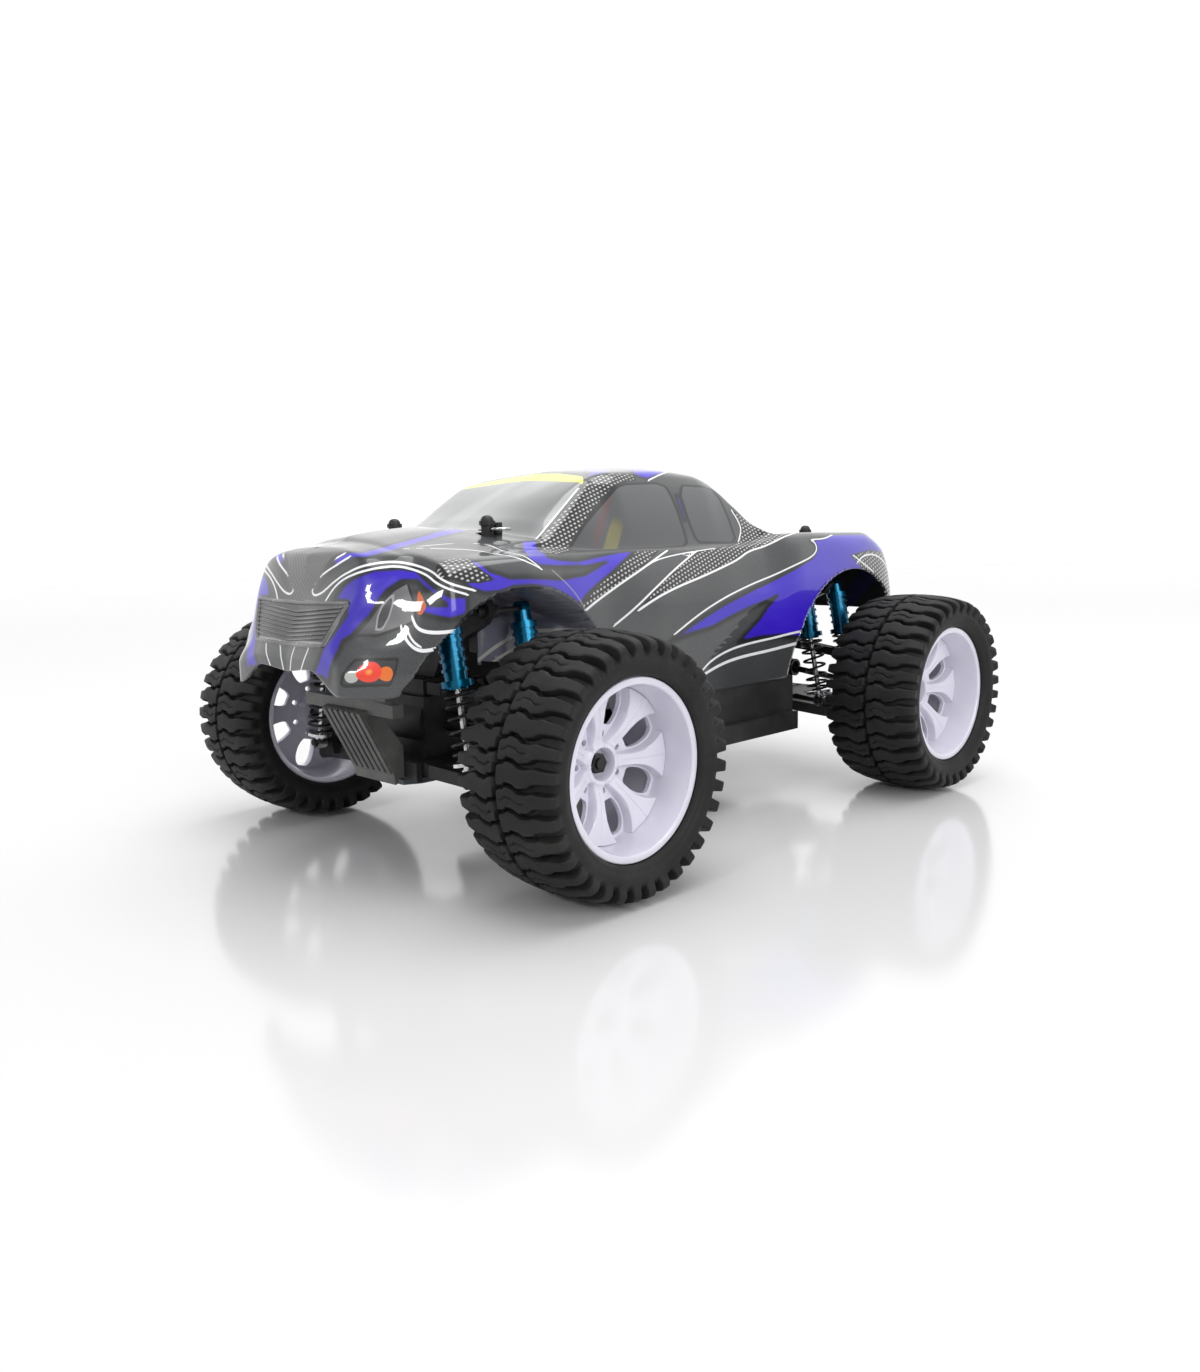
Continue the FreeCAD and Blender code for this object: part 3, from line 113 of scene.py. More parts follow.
# ---------------------------------------------------------------------------------- shell's surface
# Lines that run around the left half of the shell, from the middle of the nose to the middle of the
# tail, lowest first. A knot is (x, y, z) on the side, where its place on the line follows from x, or
# (place, x, y, z). Places 0 to 4 go round the nose, and 23 to 26 round the tail.
HEM = [
    (0, 217, 0, 98), (1, 218, 21, 100), (2, 217.7, 42, 90), (3, 206, 57, 89), (4, 194, 71, 92),
    (181, 79, 87), (142, 77, 74), (112, 72, 70), (82, 69, 70), (45, 71, 70), (16, 72, 70), (-40, 72, 70),
    (-75, 74, 71), (-128, 77, 84), (-165, 76, 98), (23, -180, 72, 104), (24, -187, 62, 104),
    (25, -189, 30, 104), (26, -189, 0, 104)]
LOW = [
    (0, 217, 0, 103), (1, 217.8, 21, 104), (2, 217.5, 42, 99), (3, 207, 58, 99), (4, 195, 72, 99),
    (181, 80, 97), (142, 79, 88), (112, 75, 84), (82, 71.5, 83), (45, 74, 83), (16, 75, 83),
    (-40, 75.5, 84), (-75, 77, 86), (-128, 79.5, 96), (-165, 78.5, 106), (23, -181, 74, 109),
    (24, -187.5, 63, 109), (25, -189.5, 30, 109), (26, -189.5, 0, 109)]
WIDE = [
    (0, 215.5, 0, 111), (1, 216, 18, 111), (2, 215, 33, 111), (3, 206, 56, 110), (4, 194, 72, 110),
    (181, 80.5, 107), (142, 80, 104), (112, 77, 101), (82, 74, 100), (45, 76.5, 100), (16, 77, 100),
    (-40, 77.5, 101), (-75, 80, 104), (-128, 80.5, 110), (-165, 79, 114), (23, -181, 75, 115),
    (24, -187, 64, 115), (25, -189, 31, 115), (26, -189, 0, 115)]
UPPER = [
    (0, 212, 0, 120), (1, 212.5, 19, 120), (2, 211.5, 36, 120), (3, 203, 53, 121), (4, 192, 71, 122),
    (181, 80.5, 122), (142, 80, 124), (112, 77.5, 122), (82, 75, 119), (45, 77, 119), (16, 77, 119),
    (-40, 78, 120), (-75, 80.5, 126), (-128, 80.5, 129), (-160, 79, 128), (23, -178, 75, 128),
    (24, -184.5, 64, 128), (25, -186, 31, 128), (26, -186, 0, 128)]
CREST = [
    (0, 208, 0, 128.5), (1, 208.5, 21, 128.7), (2, 207.5, 39.5, 129), (3, 199, 55, 131), (4, 189, 69, 134),
    (181, 78, 136), (142, 79, 139), (112, 76, 138.5), (82, 73.5, 136), (45, 74, 136), (16, 74, 136),
    (-40, 76, 138), (-75, 79, 145), (-128, 78.5, 146), (-155, 77, 145), (23, -172, 74, 142),
    (24, -179, 63, 141), (25, -180.5, 31, 141), (26, -180.5, 0, 141)]
BELT = [
    (0, 207, 0, 133), (1, 207, 22, 134), (2, 205, 42, 135), (3, 195, 54, 139), (4, 186, 64, 141),
    (181, 73.5, 143.5), (142, 74.5, 147), (112, 71.5, 147.5), (82, 69.5, 147), (45, 69, 147),
    (16, 69, 147), (-40, 71.5, 149), (-64, 75, 153), (-90, 76, 153), (-128, 75, 152.5), (-150, 74, 152),
    (23, -164, 70, 151), (24, -170, 60, 151), (25, -171, 30, 151), (26, -171, 0, 151)]
LEDGE = [
    (0, 206, 0, 140), (1, 205.5, 21, 141), (2, 203, 41, 142), (3, 194, 49.5, 145.5), (4, 186, 57, 147),
    (181, 62, 148), (142, 63, 150), (112, 65, 150.5), (82, 66, 149.5), (45, 66, 149.5), (16, 66, 149.5),
    (-28, 66, 149.8), (-49, 66.5, 152.5), (-64, 70, 155), (-90, 71.5, 155.3), (-128, 70, 155),
    (-150, 69, 154.8), (23, -160, 67, 154), (24, -165, 58, 153.5), (25, -166, 29, 153.5),
    (26, -166, 0, 153.5)]
EAVE = [
    (0, 204.5, 0, 146), (1, 203.5, 19, 147), (2, 201, 38, 147.5), (3, 194, 44, 148.5), (4, 188, 50, 149.5),
    (181, 50, 151), (142, 54, 153), (8.15, 117, 62, 154), (9, 102, 58, 162.5), (10, 82, 53.3, 177),
    (10.4, 73, 51.5, 182), (55, 53.7, 182), (16, 54, 182), (-10, 54, 182), (-22, 53.5, 180.5),
    (-36, 56.5, 171), (-49, 60, 161), (-62, 66, 155), (-90, 66.5, 154), (-128, 65, 154),
    (-150, 64.5, 153.5), (23, -158, 62, 153), (24, -162, 56, 153), (25, -163, 28, 153), (26, -163, 0, 153)]
EDGE = [
    (0, 203, 0, 150), (1, 201.5, 15, 150.7), (2, 199, 30, 151), (3, 193, 32, 151.5), (4, 187, 36, 152),
    (181, 36, 153.5), (142, 37, 157), (8.15, 120, 47, 156.5), (9, 106, 47, 164), (10, 85, 46.5, 178),
    (10.4, 73, 46, 184.3), (55, 47, 188), (16, 47, 189), (-10, 46.5, 188), (-22, 46, 185), (-36, 50, 171),
    (-49, 54, 157), (-60, 58, 149), (-75, 61, 146.5), (-128, 60, 146), (-150, 59.5, 147),
    (23, -157, 58, 148), (24, -160, 54, 149), (25, -160.5, 27, 149), (26, -160.5, 0, 149)]
CROWN = [
    (0, 201, 0, 151.5), (1, 199.5, 8, 152.3), (2, 197, 16, 153), (3, 191, 17, 153.7), (4, 186, 18, 154.5),
    (181, 18, 156.5), (142, 18, 160.8), (8.15, 123, 23, 159.5), (9, 108.5, 23.5, 166), (10, 87, 24, 178.3),
    (10.4, 74, 24, 184.5), (55, 25, 190), (16, 25, 192.7), (-10, 25, 191), (-22, 25, 187), (-36, 26, 171),
    (-49, 27, 155), (-60, 28, 148), (-75, 30, 145.5), (-128, 30, 145), (-150, 30, 146),
    (23, -157, 29, 147), (24, -160, 27, 148), (25, -160, 14, 148), (26, -160, 0, 148)]
MID = [
    (0, 198, 0, 153), (1, 198, 0, 153.3), (2, 196, 0, 153.7), (3, 190, 0, 154.5), (4, 186, 0, 155.5),
    (181, 0, 158), (142, 0, 162), (8.15, 124, 0, 160), (9, 109.5, 0, 166.5), (10, 88, 0, 178.5),
    (10.4, 75, 0, 184.5), (55, 0, 191), (16, 0, 194), (-10, 0, 192), (-22, 0, 188), (-36, 0, 171.5),
    (-48, 0, 155), (-60, 0, 147.5), (-75, 0, 145), (-128, 0, 144.5), (-150, 0, 145.5), (23, -157, 0, 147),
    (24, -160, 0, 148), (25, -160, 0, 148), (26, -160, 0, 148)]
RUNS = (HEM, LOW, WIDE, UPPER, CREST, BELT, LEDGE, EAVE, EDGE, CROWN, MID)
# grid lines between one run and the next
STEPS = (7, 9, 11, 12, 8, 8, 22, 5, 16, 17)
GRID_STEP, SIDE_LENGTH = 1.5, 380

# arches are (x, z, radius), and body posts (x, y)
FRONT_ARCH = (142, 72, 61.5)
REAR_ARCH = (-128, 71.5, 61)
POSTS = ((129, 38), (-134, 40))
POST_HOLE = 4.6
SKIN = 1.1
# girth grows up the side and over the top: it is z plus this, less y
GIRTH_ZERO = 78
# the panel behind the front arch stands at PANEL_Y. Ahead of PANEL_START it turns in by PANEL_PRESS
# over a length of PANEL_RUN, and its rim is a ramp PANEL_RAMP wide.
PANEL_Y, PANEL_PRESS = 60, 18.5
PANEL_START, PANEL_RUN, PANEL_RAMP = 99, 12, 3
# points further out than SIDE_Y are on the shell's side, and higher than TOP_Z on its top
SIDE_Y, TOP_Z = 50, 130
# behind the front arch's top the shell is open ahead of WELL_X and below WELL_Z
WELL_X, WELL_Z = 104, 97
# how near a grid point has to be for a cut's edge, or a hole's, to pull it over
EDGE_REACH, HOLE_REACH = 2.6, 2.2
# a distance that means nowhere near
FAR = 40.0


def smooth_through(places, values, wanted):
    """A curve through the knots that never swings past them, read at the wanted places."""
    places = np.asarray(places, float)
    values = np.asarray(values, float)
    wanted = np.asarray(wanted, float)
    gaps = np.diff(places)
    slopes = np.diff(values, axis=0) / gaps[:, None]
    before, after = slopes[:-1], slopes[1:]
    same_way = before * after > 0
    weight = (2 * gaps[1:] + gaps[:-1])[:, None], (gaps[1:] + 2 * gaps[:-1])[:, None]
    safe_before = np.where(same_way, before, 1)
    safe_after = np.where(same_way, after, 1)
    middle = (weight[0] + weight[1]) / (weight[0] / safe_before + weight[1] / safe_after)
    tangents = np.vstack((slopes[:1], np.where(same_way, middle, 0), slopes[-1:]))
    index = np.clip(np.searchsorted(places, wanted, side="right") - 1, 0, len(gaps) - 1)
    gap = gaps[index][:, None]
    t = (wanted - places[index])[:, None] / gap
    return (values[index] * (1 + 2 * t) * (1 - t) ** 2 + tangents[index] * gap * t * (1 - t) ** 2
            + values[index + 1] * t * t * (3 - 2 * t) + tangents[index + 1] * gap * t * t * (t - 1))


def place_of(knot):
    """A knot's place along its run."""
    return knot[0] if len(knot) == 4 else 14 - knot[0] / 20


def shell_places():
    """Where the grid lines cross the runs, close to one grid step apart."""
    nose = np.linspace(0, 4, 62)[:-1]
    side = np.linspace(4, 23, int(SIDE_LENGTH / GRID_STEP))[:-1]
    tail = np.linspace(23, 26, 46)
    return np.concatenate((nose, side, tail))


def shell_grid():
    """Points of the left half: one row for each grid line, hem first."""
    places = shell_places()
    runs = [smooth_through([place_of(k) for k in run], [k[-3:] for k in run], places) for run in RUNS]
    runs = np.array(runs)
    rows = [np.arange(steps) / steps + start for start, steps in enumerate(STEPS)]
    rows = np.concatenate(rows + [[len(STEPS)]])
    count = len(places)
    flat = runs.reshape(len(RUNS), count * 3)
    return smooth_through(range(len(RUNS)), flat, rows).reshape(len(rows), count, 3)


def circle_gap(points, circle):
    """Distance outside a circle seen from the side."""
    return np.hypot(points[:, 0] - circle[0], points[:, 2] - circle[1]) - circle[2]


def grid_faces(rows, columns):
    """Four-cornered faces of a grid of points."""
    start = (np.arange(rows - 1)[:, None] * columns + np.arange(columns - 1)[None, :]).ravel()
    return np.stack((start, start + 1, start + columns + 1, start + columns), axis=1)


def pull_onto_edge(points, faces, gap, reach):
    """Moves the points nearest to the line where gap is 0 onto it, along the grid's own edges."""
    near = np.abs(gap) < reach
    edges = np.vstack((faces[:, :2], faces[:, 1:3], faces[:, 2:], faces[:, [3, 0]]))
    edges = np.unique(np.sort(edges, axis=1), axis=0)
    a, b = edges[:, 0], edges[:, 1]
    crossing = (gap[a] * gap[b] < 0) & near[a] & near[b]
    a, b = a[crossing], b[crossing]
    move_a = np.abs(gap[a]) <= np.abs(gap[b])
    mover, other = np.where(move_a, a, b), np.where(move_a, b, a)
    share = np.abs(gap[mover]) / (np.abs(gap[mover]) + np.abs(gap[other]))
    length = share * np.linalg.norm(points[other] - points[mover], axis=1)
    order = np.argsort(-length)
    target = points[mover] + (points[other] - points[mover]) * share[:, None]
    points[mover[order]] = target[order]
    gap[mover] = 0
    return points, gap


def cut_where(points, faces, gap, reach=EDGE_REACH):
    """Faces left when everything with a gap below 0 is cut away, with the new edge running smoothly."""
    points, gap = pull_onto_edge(points, faces, gap, reach)
    return points, faces[gap[faces].min(axis=1) >= 0]


def press_panel(points):
    """Behind the front arch's top the moulding turns in, which makes room for the steered tyre."""
    gap = circle_gap(points, FRONT_ARCH)
    inside = (gap < 0) & (points[:, 0] < FRONT_ARCH[0]) & (points[:, 1] > SIDE_Y)
    behind = np.clip((points[:, 0] - PANEL_START) / PANEL_RUN, 0, 1)
    wall = PANEL_Y - PANEL_PRESS * behind * behind * (3 - 2 * behind)
    depth = np.clip(-gap / PANEL_RAMP, 0, 1)
    depth = depth * depth * (3 - 2 * depth)
    moved = points[:, 1] + (np.minimum(points[:, 1], wall) - points[:, 1]) * depth
    points[:, 1] = np.where(inside, moved, points[:, 1])
    return points


def cut_front_arch(points, faces):
    """The front arch: a real edge ahead of its top, a crease behind it."""
    gap = circle_gap(points, FRONT_ARCH)
    gap = np.where((points[:, 1] > SIDE_Y) & (points[:, 0] > 0), gap, FAR)
    points, gap = pull_onto_edge(points, faces, gap, EDGE_REACH)
    middle = points[faces].mean(axis=1)
    lowest = gap[faces].min(axis=1)
    cut = (lowest < 0) & (middle[:, 0] > FRONT_ARCH[0] - 3)
    cut |= (lowest < -2) & (middle[:, 0] > WELL_X) & (middle[:, 2] < WELL_Z)
    return press_panel(points), faces[~cut]


def half_shell():
    """The left half's points and faces, with the arches and post holes cut."""
    grid = shell_grid()
    points = grid.reshape(-1, 3).copy()
    faces = grid_faces(*grid.shape[:2])
    at_rear = (points[:, 1] > SIDE_Y) & (points[:, 0] < 0)
    points, faces = cut_where(points, faces, np.where(at_rear, circle_gap(points, REAR_ARCH), FAR))
    points, faces = cut_front_arch(points, faces)
    for x, y in POSTS:
        hole = np.hypot(points[:, 0] - x, points[:, 1] - y) - POST_HOLE
        points, faces = cut_where(points, faces, np.where(points[:, 2] > TOP_Z, hole, FAR), HOLE_REACH)
    return points, faces


def used_only(points, faces):
    """Drops the points that no face uses."""
    used = np.unique(faces)
    number = np.full(len(points), -1)
    number[used] = np.arange(len(used))
    return points[used], number[faces]


def mesh_object(name, points, faces):
    """A mesh object from points in millimetres, measured from the middle of the ground plane."""
    mesh = bpy.data.meshes.new(name)
    mesh.from_pydata((np.asarray(points) * MM).tolist(), [], [list(map(int, f)) for f in faces])
    mesh.validate()
    mesh.polygons.foreach_set("use_smooth", [True] * len(mesh.polygons))
    item = bpy.data.objects.new(name, mesh)
    bpy.context.collection.objects.link(item)
    return item


def ring_faces(rings, count, closed, first=0):
    """Quads between each ring of points and the next."""
    faces = []
    for ring in range(rings if closed else rings - 1):
        start, after = first + ring * count, first + (ring + 1) % rings * count
        for step in range(count):
            turn = (step + 1) % count
            faces.append((start + step, after + step, after + turn, start + turn))
    return faces


def tube_faces(rings, count, first):
    """The faces of a tube that starts at point first, with a cap at each end."""
    last = first + (rings - 1) * count
    caps = [tuple(range(start, start + count)) for start in (first, last)]
    return ring_faces(rings, count, False, first) + caps


def square_up(item, join=0):
    """Joins points nearer than join to each other, and turns every face outward."""
    sheet = bmesh.new()
    sheet.from_mesh(item.data)
    if join:
        bmesh.ops.remove_doubles(sheet, verts=sheet.verts, dist=join * MM)
    bmesh.ops.recalc_face_normals(sheet, faces=sheet.faces)
    sheet.to_mesh(item.data)
    sheet.free()


def make_shell():
    """The whole moulded shell, its two halves joined along the middle."""
    points, faces = used_only(*half_shell())
    both = np.vstack((points, points * (1, -1, 1)))
    both[:, 0] += MIDDLE
    other = faces[:, ::-1] + len(points)
    shell = mesh_object("painted_shell", both, np.vstack((faces, other)))
    square_up(shell, 0.05)
    return shell


# ------------------------------------------------------------------------------------ shell's paint
# Outlines on the side and top are (x, girth): x from the middle of the wheelbase, girth rising from
# the hem to the middle of the roof. Outlines on the nose are (wrap, z): wrap runs round the corner.
PURPLE_SIDE = (
    [(126, 174), (119, 171), (121, 160), (123, 151), (116, 149.5), (104, 149.5), (86, 154), (70, 157),
     (58, 158), (74, 147), (82, 150), (99, 146), (118, 144.5), (131, 144), (137, 149), (130, 165)],
    [(167, 159), (165, 150), (161, 142), (151, 137.5), (136, 137), (119, 137.5), (101, 141), (82, 150),
     (58, 158), (80, 143), (92, 136), (101, 130), (106, 125), (115, 129), (125, 132), (137, 133),
     (149, 133), (157, 131), (166, 131), (173, 134), (179, 142)],
    [(-111, 157), (-150, 159), (-170, 158), (-190, 156), (-190, 140), (-170, 136), (-146, 134),
     (-128, 120), (-90, 90), (-71, 93.5), (-53, 97), (-37, 98), (-15, 97), (-25, 103), (-34, 108),
     (-41, 114), (-50, 119.5), (-43, 118), (-25, 115), (-7, 111), (8, 107), (26, 105), (43, 102),
     (26, 109), (14, 113), (-1, 118), (-16, 122), (-32, 126), (-48, 129.5), (-65, 133), (-84, 139),
     (-90, 145), (-84, 151), (-99, 152.5)],
    [(13, 198), (10.5, 198), (9, 181), (12, 180)],
    [(119, 230), (119, 216), (140, 206), (160, 197), (184, 187), (199, 187), (205, 199), (203, 206),
     (197, 196), (178, 199), (160, 206), (140, 217)],
    [(70, 218), (56, 233), (48, 250), (30, 262), (36, 240), (46, 226), (55, 219), (63, 217)],
    [(38, 215), (30, 211), (17, 217), (3, 225), (-15, 240), (-10, 252), (10, 244), (26, 232), (36, 222)],
)
BLACK_SIDE = (
    [(183, 154), (177, 158), (170, 160), (166, 156), (167, 148), (164, 142), (159, 137), (168, 136),
     (175, 137), (182, 140.5), (186, 146)],
    [(57, 158), (39, 158), (59, 144), (75, 136), (91, 129), (105, 121.5), (106, 124), (92, 136), (80, 143),
     (66, 152)],
    [(64, 121), (52, 131), (33, 143), (11, 155.5), (-5, 157), (-23, 161), (-33, 167), (-37, 173),
     (-36, 180), (-34, 188), (-50, 181), (-60, 171), (-76, 162), (-57, 155), (-45, 153), (-30, 151),
     (-19, 145.5), (-3, 141), (15, 136), (33, 131.5), (49, 126.5)],
    [(118, 172), (99, 188), (80, 205), (74, 210), (63, 217), (48, 218), (38, 216), (39, 210), (53, 206.5),
     (61, 202), (71, 194), (81, 185), (90, 175), (99, 166), (103, 159), (114, 153), (119, 156), (119, 165)],
    [(-124, 139), (-134, 141), (-150, 143.5), (-169, 143.5), (-200, 142), (-200, 90), (-160, 90),
     (-140, 128)],
)
GLASS_SIDE = (
    [(100, 163), (86, 178), (72, 190), (61, 199), (56, 203), (50, 205), (26, 206.5), (20, 204), (18, 198),
     (16, 186), (15, 173), (15, 165), (18, 162.5), (37, 161.5), (60, 161.5), (82, 161), (98, 160.5)],
    [(6, 202), (4, 205), (-15, 204.5), (-20, 203), (-24, 197), (-27, 182), (-28, 167), (-24, 164),
     (3, 165), (5, 168), (7, 180), (8, 198)],
    [(-29, 202), (-28, 290), (-50, 290), (-51, 192)],
)
SCREEN = (
    [(126, 290), (124, 238), (121, 199), (117, 172.5), (98, 190), (80, 206), (75, 211), (68, 224),
     (62, 249), (60, 290)],
)
BANNER = (
    [(77, 209), (68, 223), (62, 249), (60, 290), (72, 290), (73, 250), (76, 226)],
)
# white lines: half a width, then the points
LINES_ONE = (
    (0.65, [(104, 121.5), (91, 129), (75, 136.5), (59, 143.5), (34, 157)]),
    (0.7, [(64, 121), (49, 126.5), (33, 131.5), (15, 136), (-3, 141), (-19, 145.5), (-30, 151), (-45, 153),
           (-57, 155), (-76, 161)]),
    (0.55, [(38, 106), (18, 115), (1, 121), (-17, 126), (-35, 130), (-53, 133), (-70, 136), (-83, 139.5),
            (-89, 144), (-88, 149.5), (-83, 152), (-99, 152), (-111, 156.5)]),
    (0.75, [(16, 83), (-1, 87.5), (-18, 89.5), (-46, 90.5), (-74, 91)]),
    (0.5, [(182, 186), (168, 178), (152, 169), (148, 157), (141, 148), (131, 142)]),
    (0.5, [(-33, 188), (-36, 180), (-37, 173), (-31, 164)]),
    (0.6, [(30, 210), (17, 216.5), (3, 224), (-15, 239)]),
    (0.5, [(117, 174), (98, 191), (80, 207)]),
    (0.6, [(-132, 134), (-140, 139), (-155, 141), (-172, 136), (-186, 122)]),
)
LINES_TWO = (
    (0.45, [(58, 144), (47, 149.5), (30, 153), (11, 155.5), (-5, 157)]),
    (0.6, [(81, 115.5), (67, 122), (52, 131), (33, 143), (11, 155.5)]),
    (0.6, [(16, 84.5), (8, 90), (-8, 94), (-26, 95.7), (-45, 96.5), (-74, 96.5)]),
    (0.45, [(180, 187), (143, 184), (141, 163), (137, 149), (131, 142)]),
    (0.5, [(-128, 139), (-140, 133), (-152, 128)]),
)
# a painted highlight: a pale line where light catches the crease behind the front arch, as half a width, then
# the points
CREASE_HIGHLIGHTS = ((0.45, [(124, 142), (112, 133.5), (103, 124), (95, 112), (90, 98)]),)
PURPLE_NOSE = (
    [(28, 130.5), (33, 137), (39, 140.5), (51, 143.5), (67, 144), (77, 143), (83, 139), (91, 135),
     (99, 132), (108, 132), (108, 124), (99, 122.5), (91, 123.5), (82, 125), (82, 129), (91, 128.5),
     (97, 128.5), (92, 131.5), (84, 135), (78, 138.5), (68, 138.5), (60, 135), (55, 131), (51, 126),
     (47, 121), (44, 116), (40, 113.5), (38, 104), (36, 96), (31, 98), (23, 98), (28, 104), (29, 110),
     (34, 116), (39, 124), (38, 130)],
)
LAMP_NOSE = (
    [(45, 116), (50, 124), (56, 129.5), (64, 135), (72, 138), (76, 131), (78, 122), (67, 119), (54, 116)],
)
LENS_NOSE = (
    [(53, 118.5), (54, 124), (57, 128.5), (61, 131.5), (64, 133), (63.5, 129), (61, 123.5), (57, 118.5)],
)
MARKER_NOSE = ([(79, 135.5), (82, 132), (84.5, 128), (81.5, 124.5), (79, 124.5), (78.5, 129)],)
FOG_NOSE = ([(48, 106), (67, 106.5), (65, 101), (61.5, 95.5), (46, 95), (44.5, 96), (46, 101)],)
GRILLE_NOSE = ([(-40, 129), (37, 129), (35, 121), (30, 111.5), (-40, 111.5)],)
LINES_NOSE = (
    (0.45, [(30, 150.5), (17, 146), (8.5, 141.5)]),
    (0.5, [(21, 130), (25, 135), (31, 139.2), (39, 142), (53, 144.3), (67, 145), (83, 141.5), (91, 137),
           (108, 132.5)]),
    (0.45, [(7, 111), (5, 106), (3, 99)]),
    (0.45, [(19, 111), (17.5, 106), (13, 99)]),
    (0.8, [(76, 123), (78, 119.5), (83, 117.5), (92, 117), (106, 118)]),
    (0.8, [(69, 119), (72, 114), (78, 110), (85, 109.5), (97, 112)]),
)
LINES_NOSE_TWO = (
    (0.5, [(34, 149), (22, 144.5), (12, 139.5), (7.5, 134.5), (10, 131.6), (17, 133.2), (24, 137.5),
           (34, 142.8), (48, 146), (66, 147), (86, 143.2), (94, 138.5), (112, 134)]),
    (0.6, [(72, 119.5), (75.5, 114), (80, 111.5)]),
)
RECESS_LINES = (
    (0.9, [(146, 95), (130, 104), (112, 110), (96, 111)]),
    (0.7, [(146, 88), (132, 97), (112, 104), (94, 105)]),
)
FOG_LAMPS = (("fog_white", (48.8, 99), 2.6), ("fog_red", (54.6, 101), 4.3),
             ("fog_orange", (60.6, 100.2), 3.1))
# the nose's wrap turns down the side behind WRAP_START, and its shapes stop at NOSE_X and NOSE_GIRTH
WRAP_START, NOSE_X, NOSE_GIRTH = 204, 168, 205
# the front arch's pressed panel, where the side's paint gives way to its own
RECESS_START, RECESS_END, RECESS_Y = 60, 145, 79


def segment_gaps(points, starts, ends):
    """Distance from every point to every segment, and which side of it the point is on."""
    along = ends - starts
    offset = points[:, None, :] - starts[None]
    share = np.clip((offset * along).sum(2) / (along * along).sum(1), 0, 1)
    gap = np.linalg.norm(offset - share[..., None] * along, axis=2)
    side = np.sign(along[None, :, 0] * offset[..., 1] - along[None, :, 1] * offset[..., 0])
    return gap, side


def inside_gap(points, outlines):
    """Signed distance to a group of closed outlines, below 0 inside any of them."""
    best = np.full(len(points), FAR)
    for outline in outlines:
        corners = np.array(outline, float)
        starts, ends = corners, np.roll(corners, -1, axis=0)
        gap = segment_gaps(points, starts, ends)[0].min(axis=1)
        x, y = points[:, :1], points[:, 1:]
        spans = (starts[:, 1] > y) != (ends[:, 1] > y)
        rise = np.where(ends[:, 1] == starts[:, 1], 1, ends[:, 1] - starts[:, 1])
        crossing = starts[:, 0] + (y - starts[:, 1]) / rise * (ends[:, 0] - starts[:, 0])
        inside = ((spans & (x < crossing)).sum(axis=1) % 2) == 1
        best = np.minimum(best, np.where(inside, -gap, gap))
    return best


def line_gaps(points, lines):
    """For the nearest line: the signed distance across it and the plain distance, in half widths."""
    across = np.full(len(points), FAR)
    plain = np.full(len(points), FAR)
    for half, corners in lines:
        corners = soften(np.array(corners, float))
        gap, side = segment_gaps(points, corners[:-1], corners[1:])
        nearest = gap.argmin(axis=1)
        rows = np.arange(len(points))
        gap, side = gap[rows, nearest] / half, side[rows, nearest]
        closer = gap < plain
        across = np.where(closer, gap * side, across)
        plain = np.where(closer, gap, plain)
    return across, plain


def soften(corners):
    """Rounds a line's corners."""
    for _ in range(3):
        quarter = corners[:-1] * 0.75 + corners[1:] * 0.25
        three = corners[:-1] * 0.25 + corners[1:] * 0.75
        inner = np.stack((quarter, three), axis=1).reshape(-1, 2)
        corners = np.vstack((corners[:1], inner, corners[-1:]))
    return corners


def store(mesh, name, values):
    """Keeps one number for each of the mesh's points, which the paint reads by name."""
    attribute = mesh.attributes.new(name, "FLOAT", "POINT")
    attribute.data.foreach_set("value", np.asarray(values, np.float32))


def store_lines(mesh, name, points, lines, seen):
    """Keeps a group of lines where they are seen."""
    across, plain = line_gaps(points, lines)
    store(mesh, name + "_across", across)
    store(mesh, name + "_plain", np.where(seen, plain, FAR))


def paint_side(mesh, side, nose, on_nose, in_recess):
    """Bands, windows and lines that are drawn over the side and top."""
    for name, outlines in (("glass", GLASS_SIDE), ("screen", SCREEN), ("banner", BANNER)):
        store(mesh, name, inside_gap(side, outlines))
    store(mesh, "black", np.where(in_recess, FAR, inside_gap(side, BLACK_SIDE)))
    purple = np.where(in_recess, FAR, inside_gap(side, PURPLE_SIDE))
    purple = np.where(on_nose, np.minimum(purple, inside_gap(nose, PURPLE_NOSE)), purple)
    store(mesh, "purple", purple)
    # the last group is a painted highlight along the side's crease
    for name, lines in (("one", LINES_ONE), ("two", LINES_TWO), ("crease_highlight", CREASE_HIGHLIGHTS)):
        store_lines(mesh, name, side, lines, ~in_recess)


def paint_nose(mesh, nose, on_nose):
    """Lamps, the grille's field and the lines of the nose."""
    for name, lines in (("three", LINES_NOSE), ("four", LINES_NOSE_TWO)):
        store_lines(mesh, name, nose, lines, on_nose)
    for name, outlines in (("lamp", LAMP_NOSE), ("lens", LENS_NOSE), ("marker", MARKER_NOSE),
                           ("fog", FOG_NOSE), ("grille", GRILLE_NOSE)):
        store(mesh, name, np.where(on_nose, inside_gap(nose, outlines), FAR))
    for name, centre, radius in FOG_LAMPS:
        gap = np.hypot(nose[:, 0] - centre[0], nose[:, 1] - centre[1]) - radius
        store(mesh, name, np.where(on_nose, gap, FAR))


